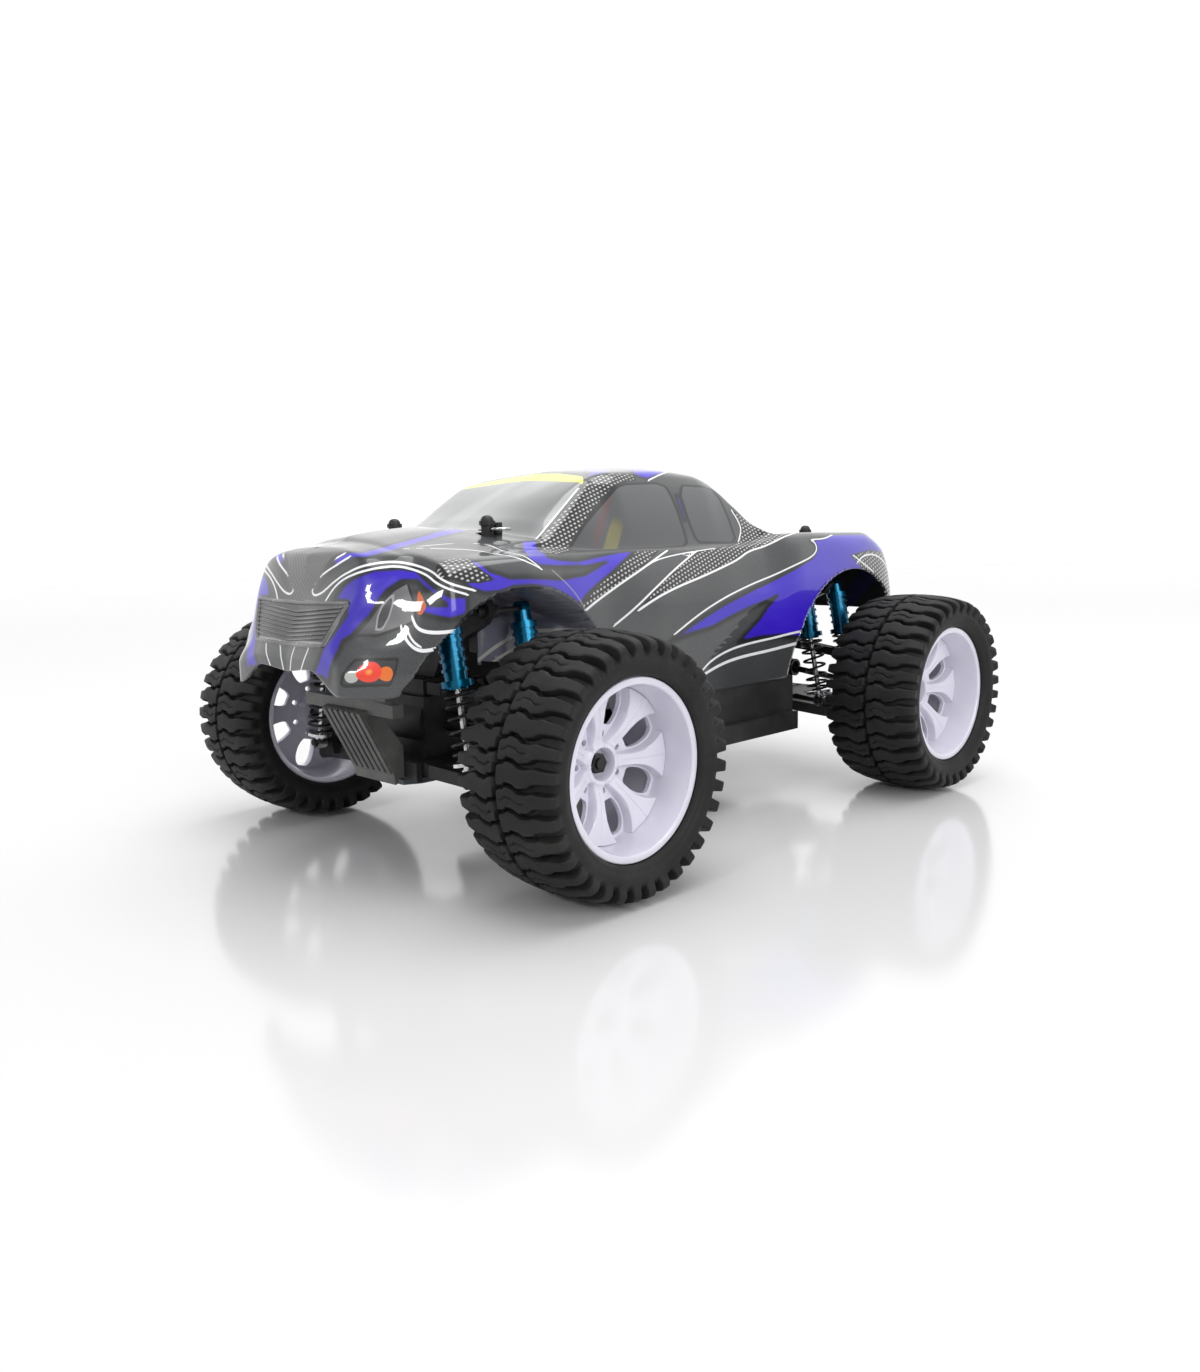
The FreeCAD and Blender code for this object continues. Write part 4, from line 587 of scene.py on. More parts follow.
def paint_shell(shell):
    """Keeps, at every point, how far it is from each painted shape, so the paint can draw sharp edges."""
    mesh = shell.data
    place = np.array([v.co for v in mesh.vertices]) / MM
    x, y, z = place[:, 0] - MIDDLE, np.abs(place[:, 1]), place[:, 2]
    girth = z + GIRTH_ZERO - y
    nose = np.stack((y + np.maximum(0, WRAP_START - x), z), axis=1)
    on_nose = (x > NOSE_X) & (girth < NOSE_GIRTH)
    in_arch = circle_gap(np.stack((x, y, z), axis=1), FRONT_ARCH) < 0.1
    in_recess = in_arch & (x > RECESS_START) & (x < RECESS_END) & (y < RECESS_Y)
    paint_side(mesh, np.stack((x, girth), axis=1), nose, on_nose, in_recess)
    paint_nose(mesh, nose, on_nose)
    store_lines(mesh, "recess", np.stack((x, z), axis=1), RECESS_LINES, in_recess)
    store(mesh, "recess", np.where(in_recess, 1.0, 0.0))
    store(mesh, "along", x)
    store(mesh, "girth", girth)


# ---------------------------------------------------------------------------------------- materials
class Look:
    """A material under construction, with short names for the nodes it is made of."""

    INPUTS = {"colour": "Base Color", "metallic": "Metallic", "roughness": "Roughness", "coat": "Coat Weight",
              "coat_roughness": "Coat Roughness", "specular": "Specular IOR Level", "glow": "Emission Color",
              "glow_strength": "Emission Strength"}

    def __init__(self, name):
        self.material = bpy.data.materials.new(name)
        self.material.use_nodes = True
        self.tree = self.material.node_tree
        self.shader = self.tree.nodes["Principled BSDF"]

    def node(self, kind, **settings):
        item = self.tree.nodes.new(kind)
        for key, value in settings.items():
            setattr(item, key, value)
        return item

    def feed(self, socket, value):
        if isinstance(value, bpy.types.NodeSocket):
            self.tree.links.new(value, socket)
        elif isinstance(value, tuple) and len(value) == 3 and len(socket.default_value) == 4:
            socket.default_value = (*value, 1)
        else:
            socket.default_value = value

    def math(self, operation, *values):
        item = self.node("ShaderNodeMath", operation=operation)
        for socket, value in zip(item.inputs, values):
            self.feed(socket, value)
        return item.outputs[0]

    def times(self, first, second):
        return self.math("MULTIPLY", first, second)

    def plus(self, first, second):
        return self.math("ADD", first, second)

    def span(self, value, start, end, low=0.0, high=1.0):
        """value between start and end becomes low to high, with soft ends."""
        item = self.node("ShaderNodeMapRange", interpolation_type="SMOOTHSTEP")
        for socket, given in zip(item.inputs, (value, start, end, low, high)):
            self.feed(socket, given)
        return item.outputs[0]

    def mix(self, share, first, second):
        item = self.node("ShaderNodeMix", data_type="RGBA")
        self.feed(item.inputs[0], share)
        self.feed(item.inputs[6], first)
        self.feed(item.inputs[7], second)
        return item.outputs[2]

    def blend(self, share, first, second):
        item = self.node("ShaderNodeMix", data_type="FLOAT")
        self.feed(item.inputs[0], share)
        self.feed(item.inputs[2], first)
        self.feed(item.inputs[3], second)
        return item.outputs[0]

    def place(self):
        return self.node("ShaderNodeTexCoord").outputs["Object"]

    def kept(self, name):
        """A value stored on the mesh's points."""
        return self.node("ShaderNodeAttribute", attribute_name=name).outputs["Fac"]

    def inside(self, name):
        """1 inside a painted shape and 0 outside it."""
        return self.span(self.kept(name), 0.15, -0.15)

    def edge(self, name, outer, inner):
        """1 along a painted shape's edge."""
        return self.span(self.math("ABSOLUTE", self.kept(name)), outer, inner)

    def line(self, name, outer, ends):
        """1 on a painted line, whose ends stop within the given distances."""
        seen = self.span(self.kept(name + "_plain"), *ends)
        return self.times(self.edge(name + "_across", outer, 0.8), seen)

    def noise(self, scale, detail=3.0, roughness=0.5, stretch=None):
        item = self.node("ShaderNodeTexNoise")
        where = self.place()
        if stretch:
            bend = self.node("ShaderNodeMapping")
            self.feed(bend.inputs["Scale"], stretch)
            self.tree.links.new(where, bend.inputs["Vector"])
            where = bend.outputs[0]
        self.tree.links.new(where, item.inputs["Vector"])
        self.feed(item.inputs["Scale"], scale)
        self.feed(item.inputs["Detail"], detail)
        self.feed(item.inputs["Roughness"], roughness)
        return item.outputs["Fac"]

    def bump(self, height, strength, distance):
        item = self.node("ShaderNodeBump")
        self.feed(item.inputs["Height"], height)
        self.feed(item.inputs["Strength"], strength)
        self.feed(item.inputs["Distance"], distance)
        self.tree.links.new(item.outputs[0], self.shader.inputs["Normal"])

    def set(self, **values):
        for key, value in values.items():
            self.feed(self.shader.inputs[self.INPUTS[key]], value)


def plain_look(name, dark, light, roughness, metallic=0.0, coat=0.0, stretch=None):
    """A material whose colour drifts between two shades, with uneven sheen and a fine grain."""
    look = Look(name)
    drift = look.span(look.noise(60.0, stretch=stretch), 0.35, 0.65)
    look.set(colour=look.mix(drift, dark, light), metallic=metallic, coat=coat,
             roughness=look.blend(look.noise(138.0, stretch=stretch), roughness - 0.07, roughness + 0.09))
    look.bump(look.noise(900.0, 2.0, stretch=stretch), 0.35, 0.00004)
    return look.material


def base_grey(look):
    """Grey pearl with fine flakes, a lighter woven print on the hood, and a paler pressed panel."""
    girth, along = look.kept("girth"), look.kept("along")
    grey = look.mix(look.span(look.noise(14, 2.0), 0.3, 0.7), (0.03, 0.032, 0.034), (0.056, 0.058, 0.06))
    flake = look.span(look.noise(2600, 1.0), 0.5, 0.75)
    grey = look.mix(look.times(flake, 0.25), grey, (0.2, 0.2, 0.21))
    waves = [look.math("SINE", look.times(place, 2.4)) for place in (along, girth)]
    woven = look.mix(look.span(look.times(*waves), -0.2, 0.2), (0.1, 0.1, 0.1), (0.24, 0.235, 0.23))
    hood = look.times(look.span(along, 125, 135), look.span(girth, 188, 205))
    grey = look.mix(look.times(hood, 0.3), grey, woven)
    return look.mix(look.kept("recess"), grey, (0.15, 0.15, 0.19))


def add_violet(look, colour):
    """Airbrushed violet flames in a black shadow."""
    purple = look.kept("purple")
    drift = look.span(look.noise(9, 2.0), 0.35, 0.65)
    violet = look.mix(drift, (0.032, 0.006, 0.52), (0.02, 0.004, 0.37))
    colour = look.mix(look.span(purple, 0.0, 3.2, 0.93, 0.0), colour, (0.004, 0.004, 0.005))
    return look.mix(look.span(purple, -0.3, -1.7), colour, violet)


def add_dotted_bands(look, colour):
    """Black bands with staggered rows of pale squares."""
    girth, along, black = look.kept("girth"), look.kept("along"), look.kept("black")
    colour = look.mix(look.inside("black"), colour, (0.005, 0.005, 0.006))
    first = look.plus(look.times(along, 0.30), look.times(girth, -0.16))
    second = look.plus(look.times(along, 0.16), look.times(girth, 0.36))
    first = look.plus(first, look.times(look.math("FLOOR", second), 0.5))
    sides = []
    for place in (first, second):
        off_middle = look.math("SUBTRACT", look.math("FRACT", place), 0.5)
        sides.append(look.span(look.math("ABSOLUTE", off_middle), 0.27, 0.20))
    square = look.times(look.times(*sides), look.span(black, -0.6, -1.1))
    dot = look.mix(look.noise(700, 1.0), (0.3, 0.3, 0.3), (0.62, 0.62, 0.6))
    return look.mix(square, colour, dot)


def smoked_glass(look):
    """Dark glass, with a yellow and a red strap that show faintly through it."""
    girth, along = look.kept("girth"), look.kept("along")
    smoke = look.mix(look.span(girth, 160, 205), (0.045, 0.048, 0.052), (0.075, 0.08, 0.086))
    within = look.times(look.span(along, 88, 78), look.span(along, 56, 66))
    diagonal = look.plus(along, look.times(girth, 0.62))
    yellow = look.times(look.span(diagonal, 168, 170), look.span(diagonal, 180, 178))
    red = look.times(look.span(diagonal, 182, 184), look.span(diagonal, 190, 188))
    low = look.times(look.span(girth, 186, 176), 0.5)
    smoke = look.mix(look.times(look.times(yellow, within), low), smoke, (0.22, 0.2, 0.03))
    return look.mix(look.times(look.times(red, within), 0.35), smoke, (0.14, 0.03, 0.03))


def add_windows(look, colour):
    """Side windows in black surrounds, the paler windscreen and its yellow banner."""
    colour = look.mix(look.span(look.kept("glass"), 2.4, 2.0), colour, (0.006, 0.006, 0.007))
    colour = look.mix(look.inside("glass"), colour, smoked_glass(look))
    cloud = look.span(look.noise(16, 1.0, stretch=(1, 2, 1)), 0.35, 0.65)
    clear = look.mix(cloud, (0.2, 0.21, 0.21), (0.33, 0.34, 0.34))
    colour = look.mix(look.inside("screen"), colour, clear)
    colour = look.mix(look.edge("screen", 1.1, 0.8), colour, (0.01, 0.01, 0.01))
    return look.mix(look.inside("banner"), colour, (0.7, 0.75, 0.02))


def add_fog_lamps(look, colour):
    """Three round lamps in a dark box with a black rim."""
    colour = look.mix(look.inside("fog"), colour, (0.03, 0.03, 0.033))
    colour = look.mix(look.edge("fog", 0.8, 0.5), colour, (0.006, 0.006, 0.006))
    room = look.span(look.kept("fog"), -0.4, -0.6)
    for name, tint, core in (("fog_white", (0.42, 0.44, 0.4), (0.5, 0.52, 0.48)),
                             ("fog_orange", (0.75, 0.16, 0.015), (0.85, 0.4, 0.05)),
                             ("fog_red", (0.8, 0.045, 0.02), (0.85, 0.5, 0.08))):
        disc = look.times(look.inside(name), room)
        colour = look.mix(disc, colour, look.mix(look.span(look.kept(name), -2.6, -4.4), tint, core))
    return colour


def add_nose(look, colour):
    """The grille's dark field, and the printed lamps."""
    colour = look.mix(look.span(look.kept("grille"), 0.7, 0.4), colour, (0.3, 0.3, 0.31))
    colour = look.mix(look.span(look.kept("grille"), -0.9, -1.2), colour, (0.012, 0.012, 0.013))
    housing = look.mix(look.span(look.noise(30, 1.0), 0.3, 0.7), (0.045, 0.045, 0.048), (0.16, 0.16, 0.165))
    colour = look.mix(look.inside("lamp"), colour, housing)
    colour = look.mix(look.edge("lamp", 0.8, 0.5), colour, (0.01, 0.01, 0.01))
    colour = look.mix(look.inside("lens"), colour, (0.03, 0.032, 0.036))
    colour = look.mix(look.edge("lens", 0.6, 0.4), colour, (0.28, 0.28, 0.29))
    colour = look.mix(look.inside("marker"), colour, (0.5, 0.1, 0.02))
    return add_fog_lamps(look, colour)


def add_pinstripes(look, colour):
    """White lines, a painted highlight along the side's crease, and the pressed panel's lines."""
    for name in ("one", "two", "three", "four"):
        colour = look.mix(look.line(name, 1.1, (2.6, 2.2)), colour, (0.82, 0.82, 0.84))
    # painted highlight: a faint pale line where light catches the side's crease
    colour = look.mix(look.times(look.line("crease_highlight", 1.2, (2.6, 2.2)), 0.45), colour, (0.42, 0.41, 0.36))
    return look.mix(look.times(look.line("recess", 1.2, (2.2, 1.9)), 0.8), colour, (0.5, 0.49, 0.44))


def paint_look():
    """The shell's whole paint, from the grey below to the white lines on top, under clear gloss."""
    look = Look("shell_paint")
    colour = base_grey(look)
    for layer in (add_violet, add_dotted_bands, add_windows, add_nose, add_pinstripes):
        colour = layer(look, colour)
    look.set(colour=colour, metallic=0.0, roughness=look.blend(look.noise(120, 2.0), 0.28, 0.4), coat=1.0,
             coat_roughness=0.03, specular=0.4)
    look.bump(look.noise(22, 2.0), 0.12, 0.0006)
    return look.material


def tyre_look():
    """Black rubber with a little dust."""
    look = Look("tyre_rubber")
    dust = look.span(look.noise(45, 4.0, 0.6), 0.45, 0.75)
    look.set(colour=look.mix(dust, (0.009, 0.009, 0.009), (0.019, 0.019, 0.018)), specular=0.3,
             roughness=look.blend(look.noise(80, 3.0), 0.5, 0.68))
    look.bump(look.noise(700, 4.0), 0.5, 0.00012)
    return look.material


def rim_look():
    """White plastic with a violet cast."""
    look = Look("rim_plastic")
    drift = look.span(look.noise(28, 2.0), 0.3, 0.7)
    look.set(colour=look.mix(drift, (0.68, 0.66, 0.76), (0.76, 0.745, 0.84)), coat=0.6, coat_roughness=0.08,
             roughness=look.blend(look.noise(60, 2.0), 0.26, 0.38))
    look.bump(look.noise(300, 2.0), 0.15, 0.00005)
    return look.material


LOOKS = {
    "black_plastic": plain_look("black_nylon", (0.009, 0.009, 0.01), (0.02, 0.02, 0.021), 0.46),
    "grey_plastic": plain_look("grey_nylon", (0.075, 0.075, 0.072), (0.11, 0.11, 0.106), 0.4),
    "alloy": plain_look("chassis_alloy", (0.05, 0.055, 0.07), (0.09, 0.1, 0.12), 0.34, metallic=0.9,
                        stretch=(1, 12, 1)),
    "blue_alloy": plain_look("blue_anodised", (0.0, 0.07, 0.15), (0.0, 0.16, 0.29), 0.2, metallic=0.85,
                             coat=0.3),
    "steel": plain_look("polished_steel", (0.5, 0.5, 0.52), (0.72, 0.72, 0.74), 0.2, metallic=1.0,
                        stretch=(1, 1, 9)),
    "spring_steel": plain_look("black_spring", (0.008, 0.008, 0.008), (0.03, 0.03, 0.032), 0.3, metallic=0.5),
    "motor_can": plain_look("motor_can", (0.3, 0.3, 0.32), (0.5, 0.5, 0.52), 0.28, metallic=1.0,
                            stretch=(9, 1, 1)),
    "battery_wrap": plain_look("battery_wrap", (0.012, 0.016, 0.11), (0.02, 0.03, 0.18), 0.25, coat=0.5),
    "electronic_case": plain_look("electronic_case", (0.015, 0.015, 0.06), (0.03, 0.03, 0.1), 0.35),
    "tyre": tyre_look(),
    "white_plastic": rim_look(),
    "shell": paint_look(),
}


def set_look(item, look):
    """Gives every face of an object one material."""
    item.data.materials.clear()
    item.data.materials.append(look)
    for polygon in item.data.polygons:
        polygon.material_index = 0


def finish_piece(piece, look, sharp):
    """Turns a new piece's faces outward, creases the edges sharper than an angle, and dresses it."""
    square_up(piece)
    piece.data.set_sharp_from_angle(angle=math.radians(sharp))
    set_look(piece, look)


def dress_nodes():
    """Gives each CAD node the look of its record's material slot."""
    for part in frame["record"]["subparts"]:
        set_look(frame["nodes"][part["node"]], LOOKS[part["material_slot"]])


def thicken(shell):
    """Gives the shell its wall, with the bare back of the paint on the inside."""
    look = Look("shell_inside")
    drift = look.span(look.noise(30), 0.35, 0.65)
    bare = look.mix(drift, (0.014, 0.014, 0.016), (0.03, 0.03, 0.034))
    violet = look.mix(drift, (0.014, 0.016, 0.075), (0.02, 0.024, 0.11))
    look.set(colour=look.mix(look.span(look.kept("purple"), 0.5, -0.5), bare, violet),
             roughness=look.blend(look.noise(60), 0.32, 0.48))
    shell.data.materials.append(look.material)
    wall = shell.modifiers.new("wall", "SOLIDIFY")
    wall.thickness = SKIN * MM
    wall.offset = -1
    wall.material_offset = 1


# ------------------------------------------------------------------------------------------ wheels
# Sizes from the wheel's middle: (radius, place along the axle), outward being positive.
WHEEL_MIDDLE = 117.5
BARREL = [(34.2, 1.5), (34.5, 6), (34.9, 12), (35.6, 18), (36.0, 21.4), (36.2, 22.9), (36.7, 23.5),
          (38.4, 23.6), (39.2, 23.4), (39.6, 22.8), (39.6, 21.6), (38.4, 21.2), (38.3, 10), (38.3, -10),
          (38.4, -21.2), (39.6, -21.6), (39.6, -23), (38.6, -23.6), (37.2, -23.4), (36.4, -21),
          (36.2, -10), (35.6, -1)]
RIM_RINGS = [3.4, 5.4, 6.9, 7.05, 7.4, 8.2, 9.0, 9.5, 10.0, 10.7, 11.5, 12.0, 12.6, 13.2, 13.8, 14.4, 15.3,
             16.3, 17.3, 17.7, 18.3, 19.2, 20.2, 21.4, 22.6, 23.8, 25.0, 26.2, 27.4, 28.6, 29.8, 30.8,
             31.6, 32.2, 32.7, 33.1, 33.7, 34.4]
RIM_FACE = ((3.4, -2.5), (6.9, -2.5), (7.05, 2.9), (7.4, 3.6), (8.2, 3.8), (9.0, 3.6), (9.6, 3.0),
            (10.7, 2.8), (16, 4.9), (22, 6.7), (28, 7.9), (34.4, 8.6))
POCKET_DEPTH = ((9.4, 0), (10.4, 2.6), (14, 3.8), (20, 4.6), (34.4, 5.2))
POCKET_HALF = ((3.4, 0.4), (9.4, 0.9), (10.7, 1.9), (13, 3.1), (16, 4.5), (20, 6.0), (24, 6.9), (28, 7.0),
               (31, 6.4), (34.4, 5.0))
OPENING_HALF = ((3.4, 0.1), (9.4, 0.25), (11.5, 0.5), (12, 1.1), (13, 1.45), (13.8, 1.2), (14.4, 0.7),
                (17.3, 2.0), (17.7, 2.9), (18.3, 3.5), (20.2, 4.5), (24, 5.4), (28, 5.5), (30.8, 4.8),
                (32.2, 3.8), (32.7, 3.2), (33.1, 2.2), (34.4, 2.2))
OPENINGS = ((11.5, 14.4), (17.3, 33.1))
RIM_PERIODS = 7
RIM_SHARES = (0.2, 0.4, 0.6, 0.8, 1.0)
SPOKE_SHARES = (0.12, 0.3, 0.5, 0.7, 0.86, 0.96, 1.0)
# the rim's wall behind its face, and the hub's thicker middle
RIM_WALL, HUB_RADIUS, HUB_BACK = 2.2, 10.2, -9.3
BARREL_COUNT = 168


def curve(table, value):
    """A table of (place, height) read at one place."""
    return float(np.interp(value, [row[0] for row in table], [row[1] for row in table]))


def turned_points(profile, count):
    """Points of an outline of (radius, place) turned about the axle."""
    angles = np.arange(count) * 2 * math.pi / count
    return [(r * math.cos(a), y, r * math.sin(a)) for r, y in profile for a in angles]


def rim_row(radius):
    """Angles and faces' heights from the middle of one pocket to the middle of the next spoke."""
    opening, top = curve(OPENING_HALF, radius), curve(POCKET_HALF, radius)
    face, depth = curve(RIM_FACE, radius), curve(POCKET_DEPTH, radius)
    foot = max(top - 0.8, opening + 0.12)
    top = max(top, foot + 0.15)
    half = radius * math.pi / RIM_PERIODS
    row = [(0, face - depth)] + [(opening * share, face - depth) for share in RIM_SHARES]
    row += [((opening + foot) / 2, face - depth), (foot, face - depth + 0.05)]
    row += [((foot + top) / 2, face - depth * 0.45), (top, face - 0.3)]
    ridge = 0.5 * min(1, max(0, (radius - 10) / 8))
    for share in SPOKE_SHARES:
        from_middle = (half - top) * (1 - share)
        groove = 0.3 if share == 1.0 and radius > 12 else 0.0
        rise = ridge * (1 - min(1, from_middle / 6.0)) - 0.1 * ridge
        row.append((top + (half - top) * share, face - groove + rise))
    return [(place / radius, height) for place, height in row]


def rim_front():
    """Points of the rim's face, ring by ring, and how many of them lie in one spoke's share."""
    points = []
    for radius in RIM_RINGS:
        half = rim_row(radius)
        row = [(-angle, height) for angle, height in half[:0:-1]][1:] + half
        for period in range(RIM_PERIODS):
            middle = period * 2 * math.pi / RIM_PERIODS
            points += [(radius * math.cos(middle + a), h, radius * math.sin(middle + a)) for a, h in row]
    return points, len(row)


def rim_face_quads(row_length):
    """Faces of the rim's front, with its windows left open."""
    count = row_length * RIM_PERIODS
    middle_column = (row_length - 1) // 2
    quads = []
    for ring in range(len(RIM_RINGS) - 1):
        radius = (RIM_RINGS[ring] + RIM_RINGS[ring + 1]) / 2
        open_here = any(start < radius < end for start, end in OPENINGS)
        start, after = ring * count, (ring + 1) * count
        for step in range(count):
            column = step % row_length - middle_column
            if open_here and -len(RIM_SHARES) <= column < len(RIM_SHARES):
                continue
            turn = (step + 1) % count
            quads.append((start + step, start + turn, after + turn, after + step))
    return quads


def rim_back(front, count):
    """Points of the rim's back, one behind each point of its face."""
    back = []
    for ring, radius in enumerate(RIM_RINGS):
        behind = curve(RIM_FACE, radius) - curve(POCKET_DEPTH, radius) - RIM_WALL
        if radius < HUB_RADIUS:
            behind = HUB_BACK
        back += [(x, behind, z) for x, y, z in front[ring * count:(ring + 1) * count]]
    return back


def rim_mesh():
    """The spoked face, its back, the walls that join them at every edge, and the barrel."""
    front, row_length = rim_front()
    kept = rim_face_quads(row_length)
    points = front + rim_back(front, row_length * RIM_PERIODS)
    shift = len(front)
    edges = dict.fromkeys(edge for face in kept for edge in zip(face, face[1:] + face[:1]))
    faces = [tuple(reversed(face)) for face in kept]
    faces += [tuple(index + shift for index in face) for face in kept]
    faces += [(start, end, end + shift, start + shift) for start, end in edges if (end, start) not in edges]
    faces += ring_faces(len(BARREL), BARREL_COUNT, True, len(points))
    points += turned_points(BARREL, BARREL_COUNT)
    return points, faces


# Tyre outline from the middle of the tread to the bead: groove bottom (side, radius), then block top.
TREAD = [(0, 54.9, 0, 58.5), (0.7, 54.9, 0.7, 58.5), (1.4, 54.9, 1.4, 58.5), (2.2, 54.9, 2.2, 58.5),
         (3.2, 54.9, 3.2, 58.45), (4.6, 54.9, 4.6, 58.4), (6, 54.9, 6, 58.35), (7.4, 54.9, 7.4, 58.3),
         (8.8, 54.8, 8.8, 58.2), (10.2, 54.8, 10.2, 58.1), (11.6, 54.7, 11.6, 58.0), (13, 54.6, 13, 57.9),
         (14.4, 54.5, 14.4, 57.75), (15.8, 54.3, 15.8, 57.6), (17.2, 54.0, 17.2, 57.4),
         (18.6, 53.6, 18.6, 57.2), (20, 53.2, 20, 57.0), (21.4, 52.7, 21.4, 56.7),
         (22.6, 52.2, 22.8, 56.4), (23.6, 51.7, 24.4, 56.0), (24.5, 51.2, 26, 55.5),
         (25.4, 50.6, 27.6, 54.7), (26.1, 50.0, 28.6, 53.5), (26.7, 49.3, 28.9, 52.2),
         (27.2, 48.6, 28.5, 50.6), (27.6, 47.9, 27.9, 49.0), (27.8, 47.2, 27.8, 47.4)]
SIDEWALL = [(27.8, 46.4), (27.6, 45.3), (27.2, 44.2), (26.7, 43.1), (26.3, 42.6), (26.2, 42.1),
            (25.9, 41.4), (25.2, 40.7), (24.3, 40.2), (23.9, 39.9), (21.3, 39.9), (21.1, 38.9),
            (20.8, 38.55), (14, 38.5), (5, 38.5)]
# blocks round the tyre, points round one block, and one block's length round the tread
BLOCKS, COLUMNS = 36, 12
BLOCK_PITCH = 2 * math.pi * 57 / BLOCKS


def groove_half(side):
    """Half a cross groove's width in millimetres, wide between the shoulder lugs."""
    return float(np.interp(side, [0, 3, 12, 18, 23, 29], [0.5, 0.55, 0.75, 1.15, 1.95, 2.3]))


def column_place(column, side):
    """Place of a column within its block, and its height as a share of the block's."""
    wide = groove_half(side) / BLOCK_PITCH
    near = column if column <= COLUMNS // 2 else column - COLUMNS
    step = abs(near)
    inner, outer = wide - 0.035, wide + 0.045
    rest = 0.5 - outer
    places = (0, inner, outer, outer + rest * 0.2, outer + rest * 0.5, outer + rest * 0.8, 0.5)
    heights = (0, 0.03, 0.9, 1.0, 1.0, 1.0, 1.0)
    return math.copysign(places[step], near), heights[step]


def block_wave(side):
    """How far a cross groove has moved round the tyre, in blocks, on its way to the shoulder."""
    sides = [0, 5, 6, 11, 12.2, 18, 19.4, 29]
    return float(np.interp(side, sides, [0, 0.08, 0.2, 0.13, -0.02, 0.04, 0.16, 0.16]))


def lug_height(height, side, block, column, middle):
    """A block's height where the tread's middle line or a notch lowers it."""
    if side < 0.5:
        height = 0.0
    elif side < 1.2:
        height = 0.0 if (block * 2 + column // 6) % 2 else 0.75 * height
    if 3 < side < 17 and middle and block % 2:
        height *= 0.8
    return height


def tyre_ring(side, low_radius, high_side, high_radius, half):
    """One ring of the tread; half is +1 on the outer side of the tyre and -1 on the inner."""
    points = []
    stagger = 0 if half > 0 else COLUMNS // 2
    settle = min(1.0, side / 2.2)
    for block in range(BLOCKS):
        for column in range(COLUMNS):
            place, height = column_place((column + stagger) % COLUMNS, side)
            even = column if column <= COLUMNS // 2 else column - COLUMNS
            even /= COLUMNS
            if half < 0:
                place += 0.5 if even > 0 else -0.5
            place = even + (place - even) * settle + block_wave(side) * half * settle
            middle = (column + stagger) % COLUMNS == COLUMNS // 2
            height = lug_height(height, side, block, column, middle)
            after = 1 if column > COLUMNS // 2 else 0
            angle = (block + place + after) * 2 * math.pi / BLOCKS
            radius = low_radius + (high_radius - low_radius) * height
            lateral = (side + (high_side - side) * height) * half
            points.append((radius * math.cos(angle), lateral, radius * math.sin(angle)))
    return points


def tyre_mesh():
    """A closed tyre: the lugged tread, then down one sidewall and back up the other."""
    rings = [tyre_ring(*row, -1) for row in reversed(TREAD)]
    rings += [tyre_ring(*row, 1) for row in TREAD[1:]]
    wave = block_wave(TREAD[-1][0]) * 2 * math.pi / BLOCKS
    angles = (np.arange(BLOCKS * COLUMNS)) * 2 * math.pi / BLOCKS / COLUMNS
    for half, outline in ((1, SIDEWALL), (-1, reversed(SIDEWALL))):
        for side, radius in outline:
            turned = [a + wave * half for a in angles]
            rings.append([(radius * math.cos(a), side * half, radius * math.sin(a)) for a in turned])
    points = [point for ring in rings for point in ring]
    return points, ring_faces(len(rings), BLOCKS * COLUMNS, True)


def wheel_piece(name, corner, mesh, slot):
    """Sets one corner's rim or tyre in place of the CAD's."""
    points, faces = mesh
    side = 1 if corner.endswith("left") else -1
    axle = FRONT_AXLE if corner.startswith("front") else REAR_AXLE
    placed = [(axle + x * side, (WHEEL_MIDDLE + y) * side, HUB_HEIGHT + z) for x, y, z in points]
    piece = mesh_object("%s_wheel_%s" % (corner, name), placed, faces)
    finish_piece(piece, LOOKS[slot], 32)
    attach(piece, corner + "_wheel")
    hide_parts("%s_%s" % (corner, name))


def add_wheels():
    """One rim and one tyre, set at all four corners."""
    rim, tyre = rim_mesh(), tyre_mesh()
    for corner in CORNERS:
        wheel_piece("rim", corner, rim, "white_plastic")
        wheel_piece("tyre", corner, tyre, "tyre")


# ------------------------------------------------------------------------------------------ grille
# Half outline of the frame as (y, z), and the slats: lowest in the middle, rising to each side.
GRILLE_HALF = ((0, 128.3), (38.5, 129.2), (28.5, 110.9), (0, 110.2))
SLATS = 8
SLAT_LOW, SLAT_PITCH, SLAT_RISE = 111.9, 1.78, 0.085
# a bar's cross-section as shares of its half width and height, and the step between its sections
BAR_SECTION = ((-1, -0.25), (-0.85, 0.55), (-0.35, 1), (0.35, 1), (0.85, 0.55), (1, -0.25))
BAR_STEP = 1.4


def nose_spots(tree, path):
    """Places on the nose along a (y, z) path, and the way out of the shell at each."""
    path = np.array(path, float)
    lengths = np.concatenate(([0], np.cumsum(np.hypot(*np.diff(path, axis=0).T))))
    spots, normals = [], []
    for place in np.linspace(0, lengths[-1], max(3, int(lengths[-1] / BAR_STEP))):
        y, z = np.interp(place, lengths, path[:, 0]), np.interp(place, lengths, path[:, 1])
        hit, normal, _, _ = tree.ray_cast(Vector((0.3, y * MM, z * MM)), Vector((-1, 0, 0)))
        spots.append(hit / MM)
        normals.append(normal if normal.x > 0 else -normal)
    return spots, normals


def bar_on_shell(tree, path, half_width, height, points, faces):
    """Adds a rounded bar that follows a (y, z) path over the nose."""
    spots, normals = nose_spots(tree, path)
    faces += tube_faces(len(spots), len(BAR_SECTION), len(points))
    last = len(spots) - 1
    for index, (spot, normal) in enumerate(zip(spots, normals)):
        ahead = (spots[min(index + 1, last)] - spots[max(index - 1, 0)]).normalized()
        across = normal.cross(ahead).normalized()
        for side, lift in BAR_SECTION:
            points.append(tuple(spot + across * (side * half_width) + normal * (lift * height)))


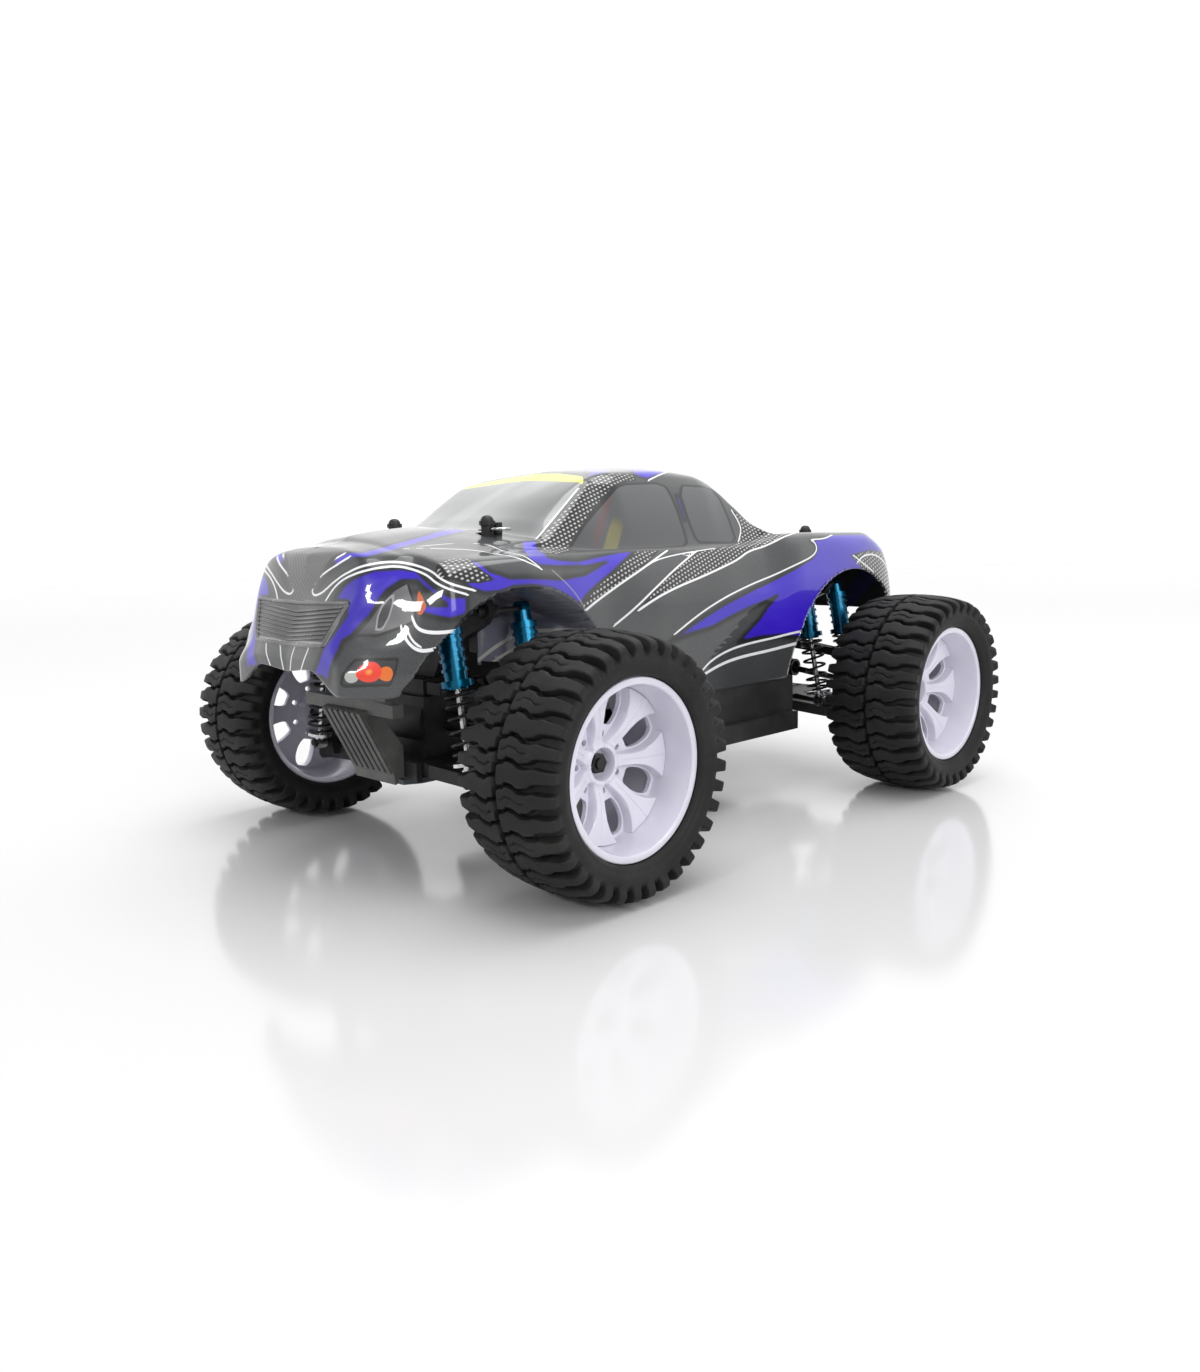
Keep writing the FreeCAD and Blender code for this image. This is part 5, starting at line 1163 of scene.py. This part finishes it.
def add_grille(shell):
    """Silver slats and their frame, standing proud of the nose."""
    sheet = bmesh.new()
    sheet.from_mesh(shell.data)
    tree = BVHTree.FromBMesh(sheet)
    sheet.free()
    points, faces = [], []
    for slat in range(SLATS):
        low = SLAT_LOW + SLAT_PITCH * slat
        # a slat ends 1.4 short of the frame's slanting side
        reach = 38.5 - 10 * (129.2 - (low + SLAT_RISE * 30)) / 18.3 - 1.4
        path = [(-reach, low + SLAT_RISE * reach), (0, low), (reach, low + SLAT_RISE * reach)]
        bar_on_shell(tree, path, 0.55, 0.8, points, faces)
    outline = list(GRILLE_HALF) + [(-y, z) for y, z in reversed(GRILLE_HALF[1:3])]
    for start, end in zip(outline, outline[1:] + outline[:1]):
        bar_on_shell(tree, [start, end], 0.95, 0.9, points, faces)
    grille = mesh_object("grille", points, faces)
    silver = plain_look("grille_silver", (0.15, 0.15, 0.155), (0.27, 0.27, 0.275), 0.28, metallic=0.3)
    finish_piece(grille, silver, 50)
    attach(grille, "chassis")


# ------------------------------------------------------------------------------------------- posts
# A round head on a short neck: (radius, height above the post's top)
KNOB = ((0.5, 2.6), (1.5, 2.4), (2.4, 1.8), (3.0, 0.9), (3.2, -0.2), (3.25, -2.4), (3.05, -2.6))
KNOB_COUNT = 28
POST_TOPS = (164, 157)
# a clip's block beside the front left post: its place, its rings as (half a side, height), and how
# far its corners are cut
CLIP_BLOCK = (112.3, 38.5, 161)
CLIP_RINGS = ((1.9, -3.4), (2.3, -3.1), (2.3, 1.9), (1.9, 2.3))
CLIP_CORNERS = ((1, 0.62), (0.62, 1), (-0.62, 1), (-1, 0.62), (-1, -0.62), (-0.62, -1), (0.62, -1),
                (1, -0.62))
CLIP_SQUEEZE = 0.9


def add_knobs():
    """A round-headed knob on every body post, and the clip's block beside the front left one."""
    points, faces = [], []
    angles = np.arange(KNOB_COUNT) * 2 * math.pi / KNOB_COUNT
    for (x, y), top in zip(POSTS, POST_TOPS):
        for side in (1, -1):
            faces += tube_faces(len(KNOB), KNOB_COUNT, len(points))
            points += [(x + MIDDLE + radius * math.cos(a), y * side + radius * math.sin(a), top + height)
                       for radius, height in KNOB for a in angles]
    x, y, z = CLIP_BLOCK
    faces += tube_faces(len(CLIP_RINGS), len(CLIP_CORNERS), len(points))
    points += [(x + half * u * CLIP_SQUEEZE, y + half * v, z + height)
               for half, height in CLIP_RINGS for u, v in CLIP_CORNERS]
    knobs = mesh_object("post_knobs", points, faces)
    finish_piece(knobs, LOOKS["black_plastic"], 35)
    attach(knobs, "chassis")


# ----------------------------------------------------------------------------------------- springs
# A damper's eyes at rest as (y, z); then each end's axle, and how far ahead of it its two dampers stand.
DAMPER_TOP, DAMPER_FOOT = (50, 122), (64, 50)
DAMPERS = (("front", 126.5, (27, -18)), ("rear", -148.5, (21, -16)))
COIL_LOW, COIL_HIGH = 7.15, 39.4
COIL_RADIUS, COIL_WIRE, COIL_TURNS = 6.3, 0.75, 7
COIL_STEPS, COIL_AROUND = COIL_TURNS * 28, 10


def coil_line(share):
    """Height above the foot of a point on the coil, with the end turns closed up."""
    eased = share - math.sin(share * 2 * math.pi) * 0.055
    return COIL_LOW + (COIL_HIGH - COIL_LOW) * eased


def damper_axis(side):
    """The foot of a damper in its own plane, and the way up to its top."""
    top = np.array((0, DAMPER_TOP[0] * side, DAMPER_TOP[1]), float)
    foot = np.array((0, DAMPER_FOOT[0] * side, DAMPER_FOOT[1]), float)
    return foot, (top - foot) / np.linalg.norm(top - foot)


def coil_mesh(middle, side, points, faces):
    """Adds one coil spring round the damper whose eyes are at x = middle."""
    foot, up = damper_axis(side)
    ahead = np.array((1.0, 0, 0))
    across = np.cross(up, ahead)
    faces += tube_faces(COIL_STEPS + 1, COIL_AROUND, len(points))
    for step in range(COIL_STEPS + 1):
        share = step / COIL_STEPS
        angle = share * COIL_TURNS * 2 * math.pi
        outward = ahead * math.cos(angle) + across * math.sin(angle)
        centre = foot + ahead * middle + up * coil_line(share) + outward * COIL_RADIUS
        for turn in range(COIL_AROUND):
            lean = turn * 2 * math.pi / COIL_AROUND
            points.append(tuple(centre + (outward * math.cos(lean) + up * math.sin(lean)) * COIL_WIRE))


def add_springs():
    """The two coils of each corner, set between each damper's collar and its lower cup where it stands at
    rest.
    """
    for end, axle, offsets in DAMPERS:
        for side, hand in ((1, "left"), (-1, "right")):
            corner = "%s_%s" % (end, hand)
            points, faces = [], []
            for offset in offsets:
                coil_mesh(axle + offset, side, points, faces)
            coils = mesh_object(corner + "_coil_springs", points, faces)
            square_up(coils)
            set_look(coils, LOOKS["spring_steel"])
            foot, up = damper_axis(side)
            foot[0] = axle
            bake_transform(coils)
            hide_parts(corner + "_shock_springs")


# ------------------------------------------------------------------------------- floor and lighting
FLOOR_SPOKES, FLOOR_RINGS = 64, (0.5, 1.5, 4, 9.5)
WALL_STEPS, WALL_RADIUS, WALL_ENDS = 90, 9, (-0.05, 14)


def round_points(radius, height, count):
    """Points in metres, evenly spaced round the truck."""
    angles = [step * 2 * math.pi / count for step in range(count)]
    return [(radius * math.cos(a), radius * math.sin(a), height) for a in angles]


def add_floor():
    """A pale glossy floor that runs out of sight."""
    points = [(0, 0, 0)]
    for radius in FLOOR_RINGS:
        points += round_points(radius, 0, FLOOR_SPOKES)
    faces = [(0, 1 + step, 1 + (step + 1) % FLOOR_SPOKES) for step in range(FLOOR_SPOKES)]
    faces += ring_faces(len(FLOOR_RINGS), FLOOR_SPOKES, False, 1)
    floor = mesh_object("floor", np.array(points) / MM, faces)
    look = Look("studio_floor")
    pale = look.mix(look.noise(0.8, 1.0), (0.66, 0.66, 0.665), (0.7, 0.7, 0.7))
    look.set(colour=pale, roughness=0.12, specular=0.6)
    set_look(floor, look.material)


def backdrop_look():
    """White that glows, less toward the top and toward the camera's side."""
    look = Look("backdrop_white")
    pale = look.mix(look.noise(0.3, 1.0), (0.97, 0.97, 0.97), (1.0, 1.0, 1.0))
    place = look.node("ShaderNodeSeparateXYZ")
    look.tree.links.new(look.place(), place.inputs[0])
    behind = look.times(look.plus(place.outputs[0], place.outputs[1]), -0.079)
    glow = look.times(look.span(place.outputs[2], 4.6, 13, 1.0, 0.35), look.span(behind, -0.3, 0.3, 0.4, 1.0))
    look.set(colour=(0.3, 0.3, 0.3), roughness=0.9, glow=pale, glow_strength=glow)
    return look.material


def add_backdrop():
    """A round wall behind everything."""
    low, high = [round_points(WALL_RADIUS, height, WALL_STEPS) for height in WALL_ENDS]
    wall = [point for pair in zip(low, high) for point in pair]
    count = len(wall)
    quads = [(step, (step + 2) % count, (step + 3) % count, step + 1) for step in range(0, count, 2)]
    backdrop = mesh_object("backdrop", np.array(wall) / MM, quads)
    set_look(backdrop, backdrop_look())


def add_lighting():
    """A white sky, and soft boxes above."""
    world = bpy.data.worlds.new("studio")
    bpy.context.scene.world = world
    world.use_nodes = True
    background = world.node_tree.nodes["Background"]
    background.inputs["Color"].default_value = (1, 1, 1, 1)
    background.inputs["Strength"].default_value = 0.38
    add_light("top_box", (-0.1, 0.15, 1.6), (1.8, 1.4), 22)
    add_light("left_box", (0.35, 1.7, 0.9), (1.3, 0.9), 13)
    add_light("front_box", (1.8, 0.3, 1.0), (0.36, 0.18), 6)
    bpy.context.scene.view_settings.view_transform = "Standard"


add_camera()
dress_nodes()
SHELL = make_shell()
paint_shell(SHELL)
set_look(SHELL, LOOKS["shell"])
thicken(SHELL)
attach(SHELL, "chassis")
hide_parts("body_shell")
add_grille(SHELL)
add_wheels()
add_knobs()
add_springs()
add_floor()
add_backdrop()
add_lighting()
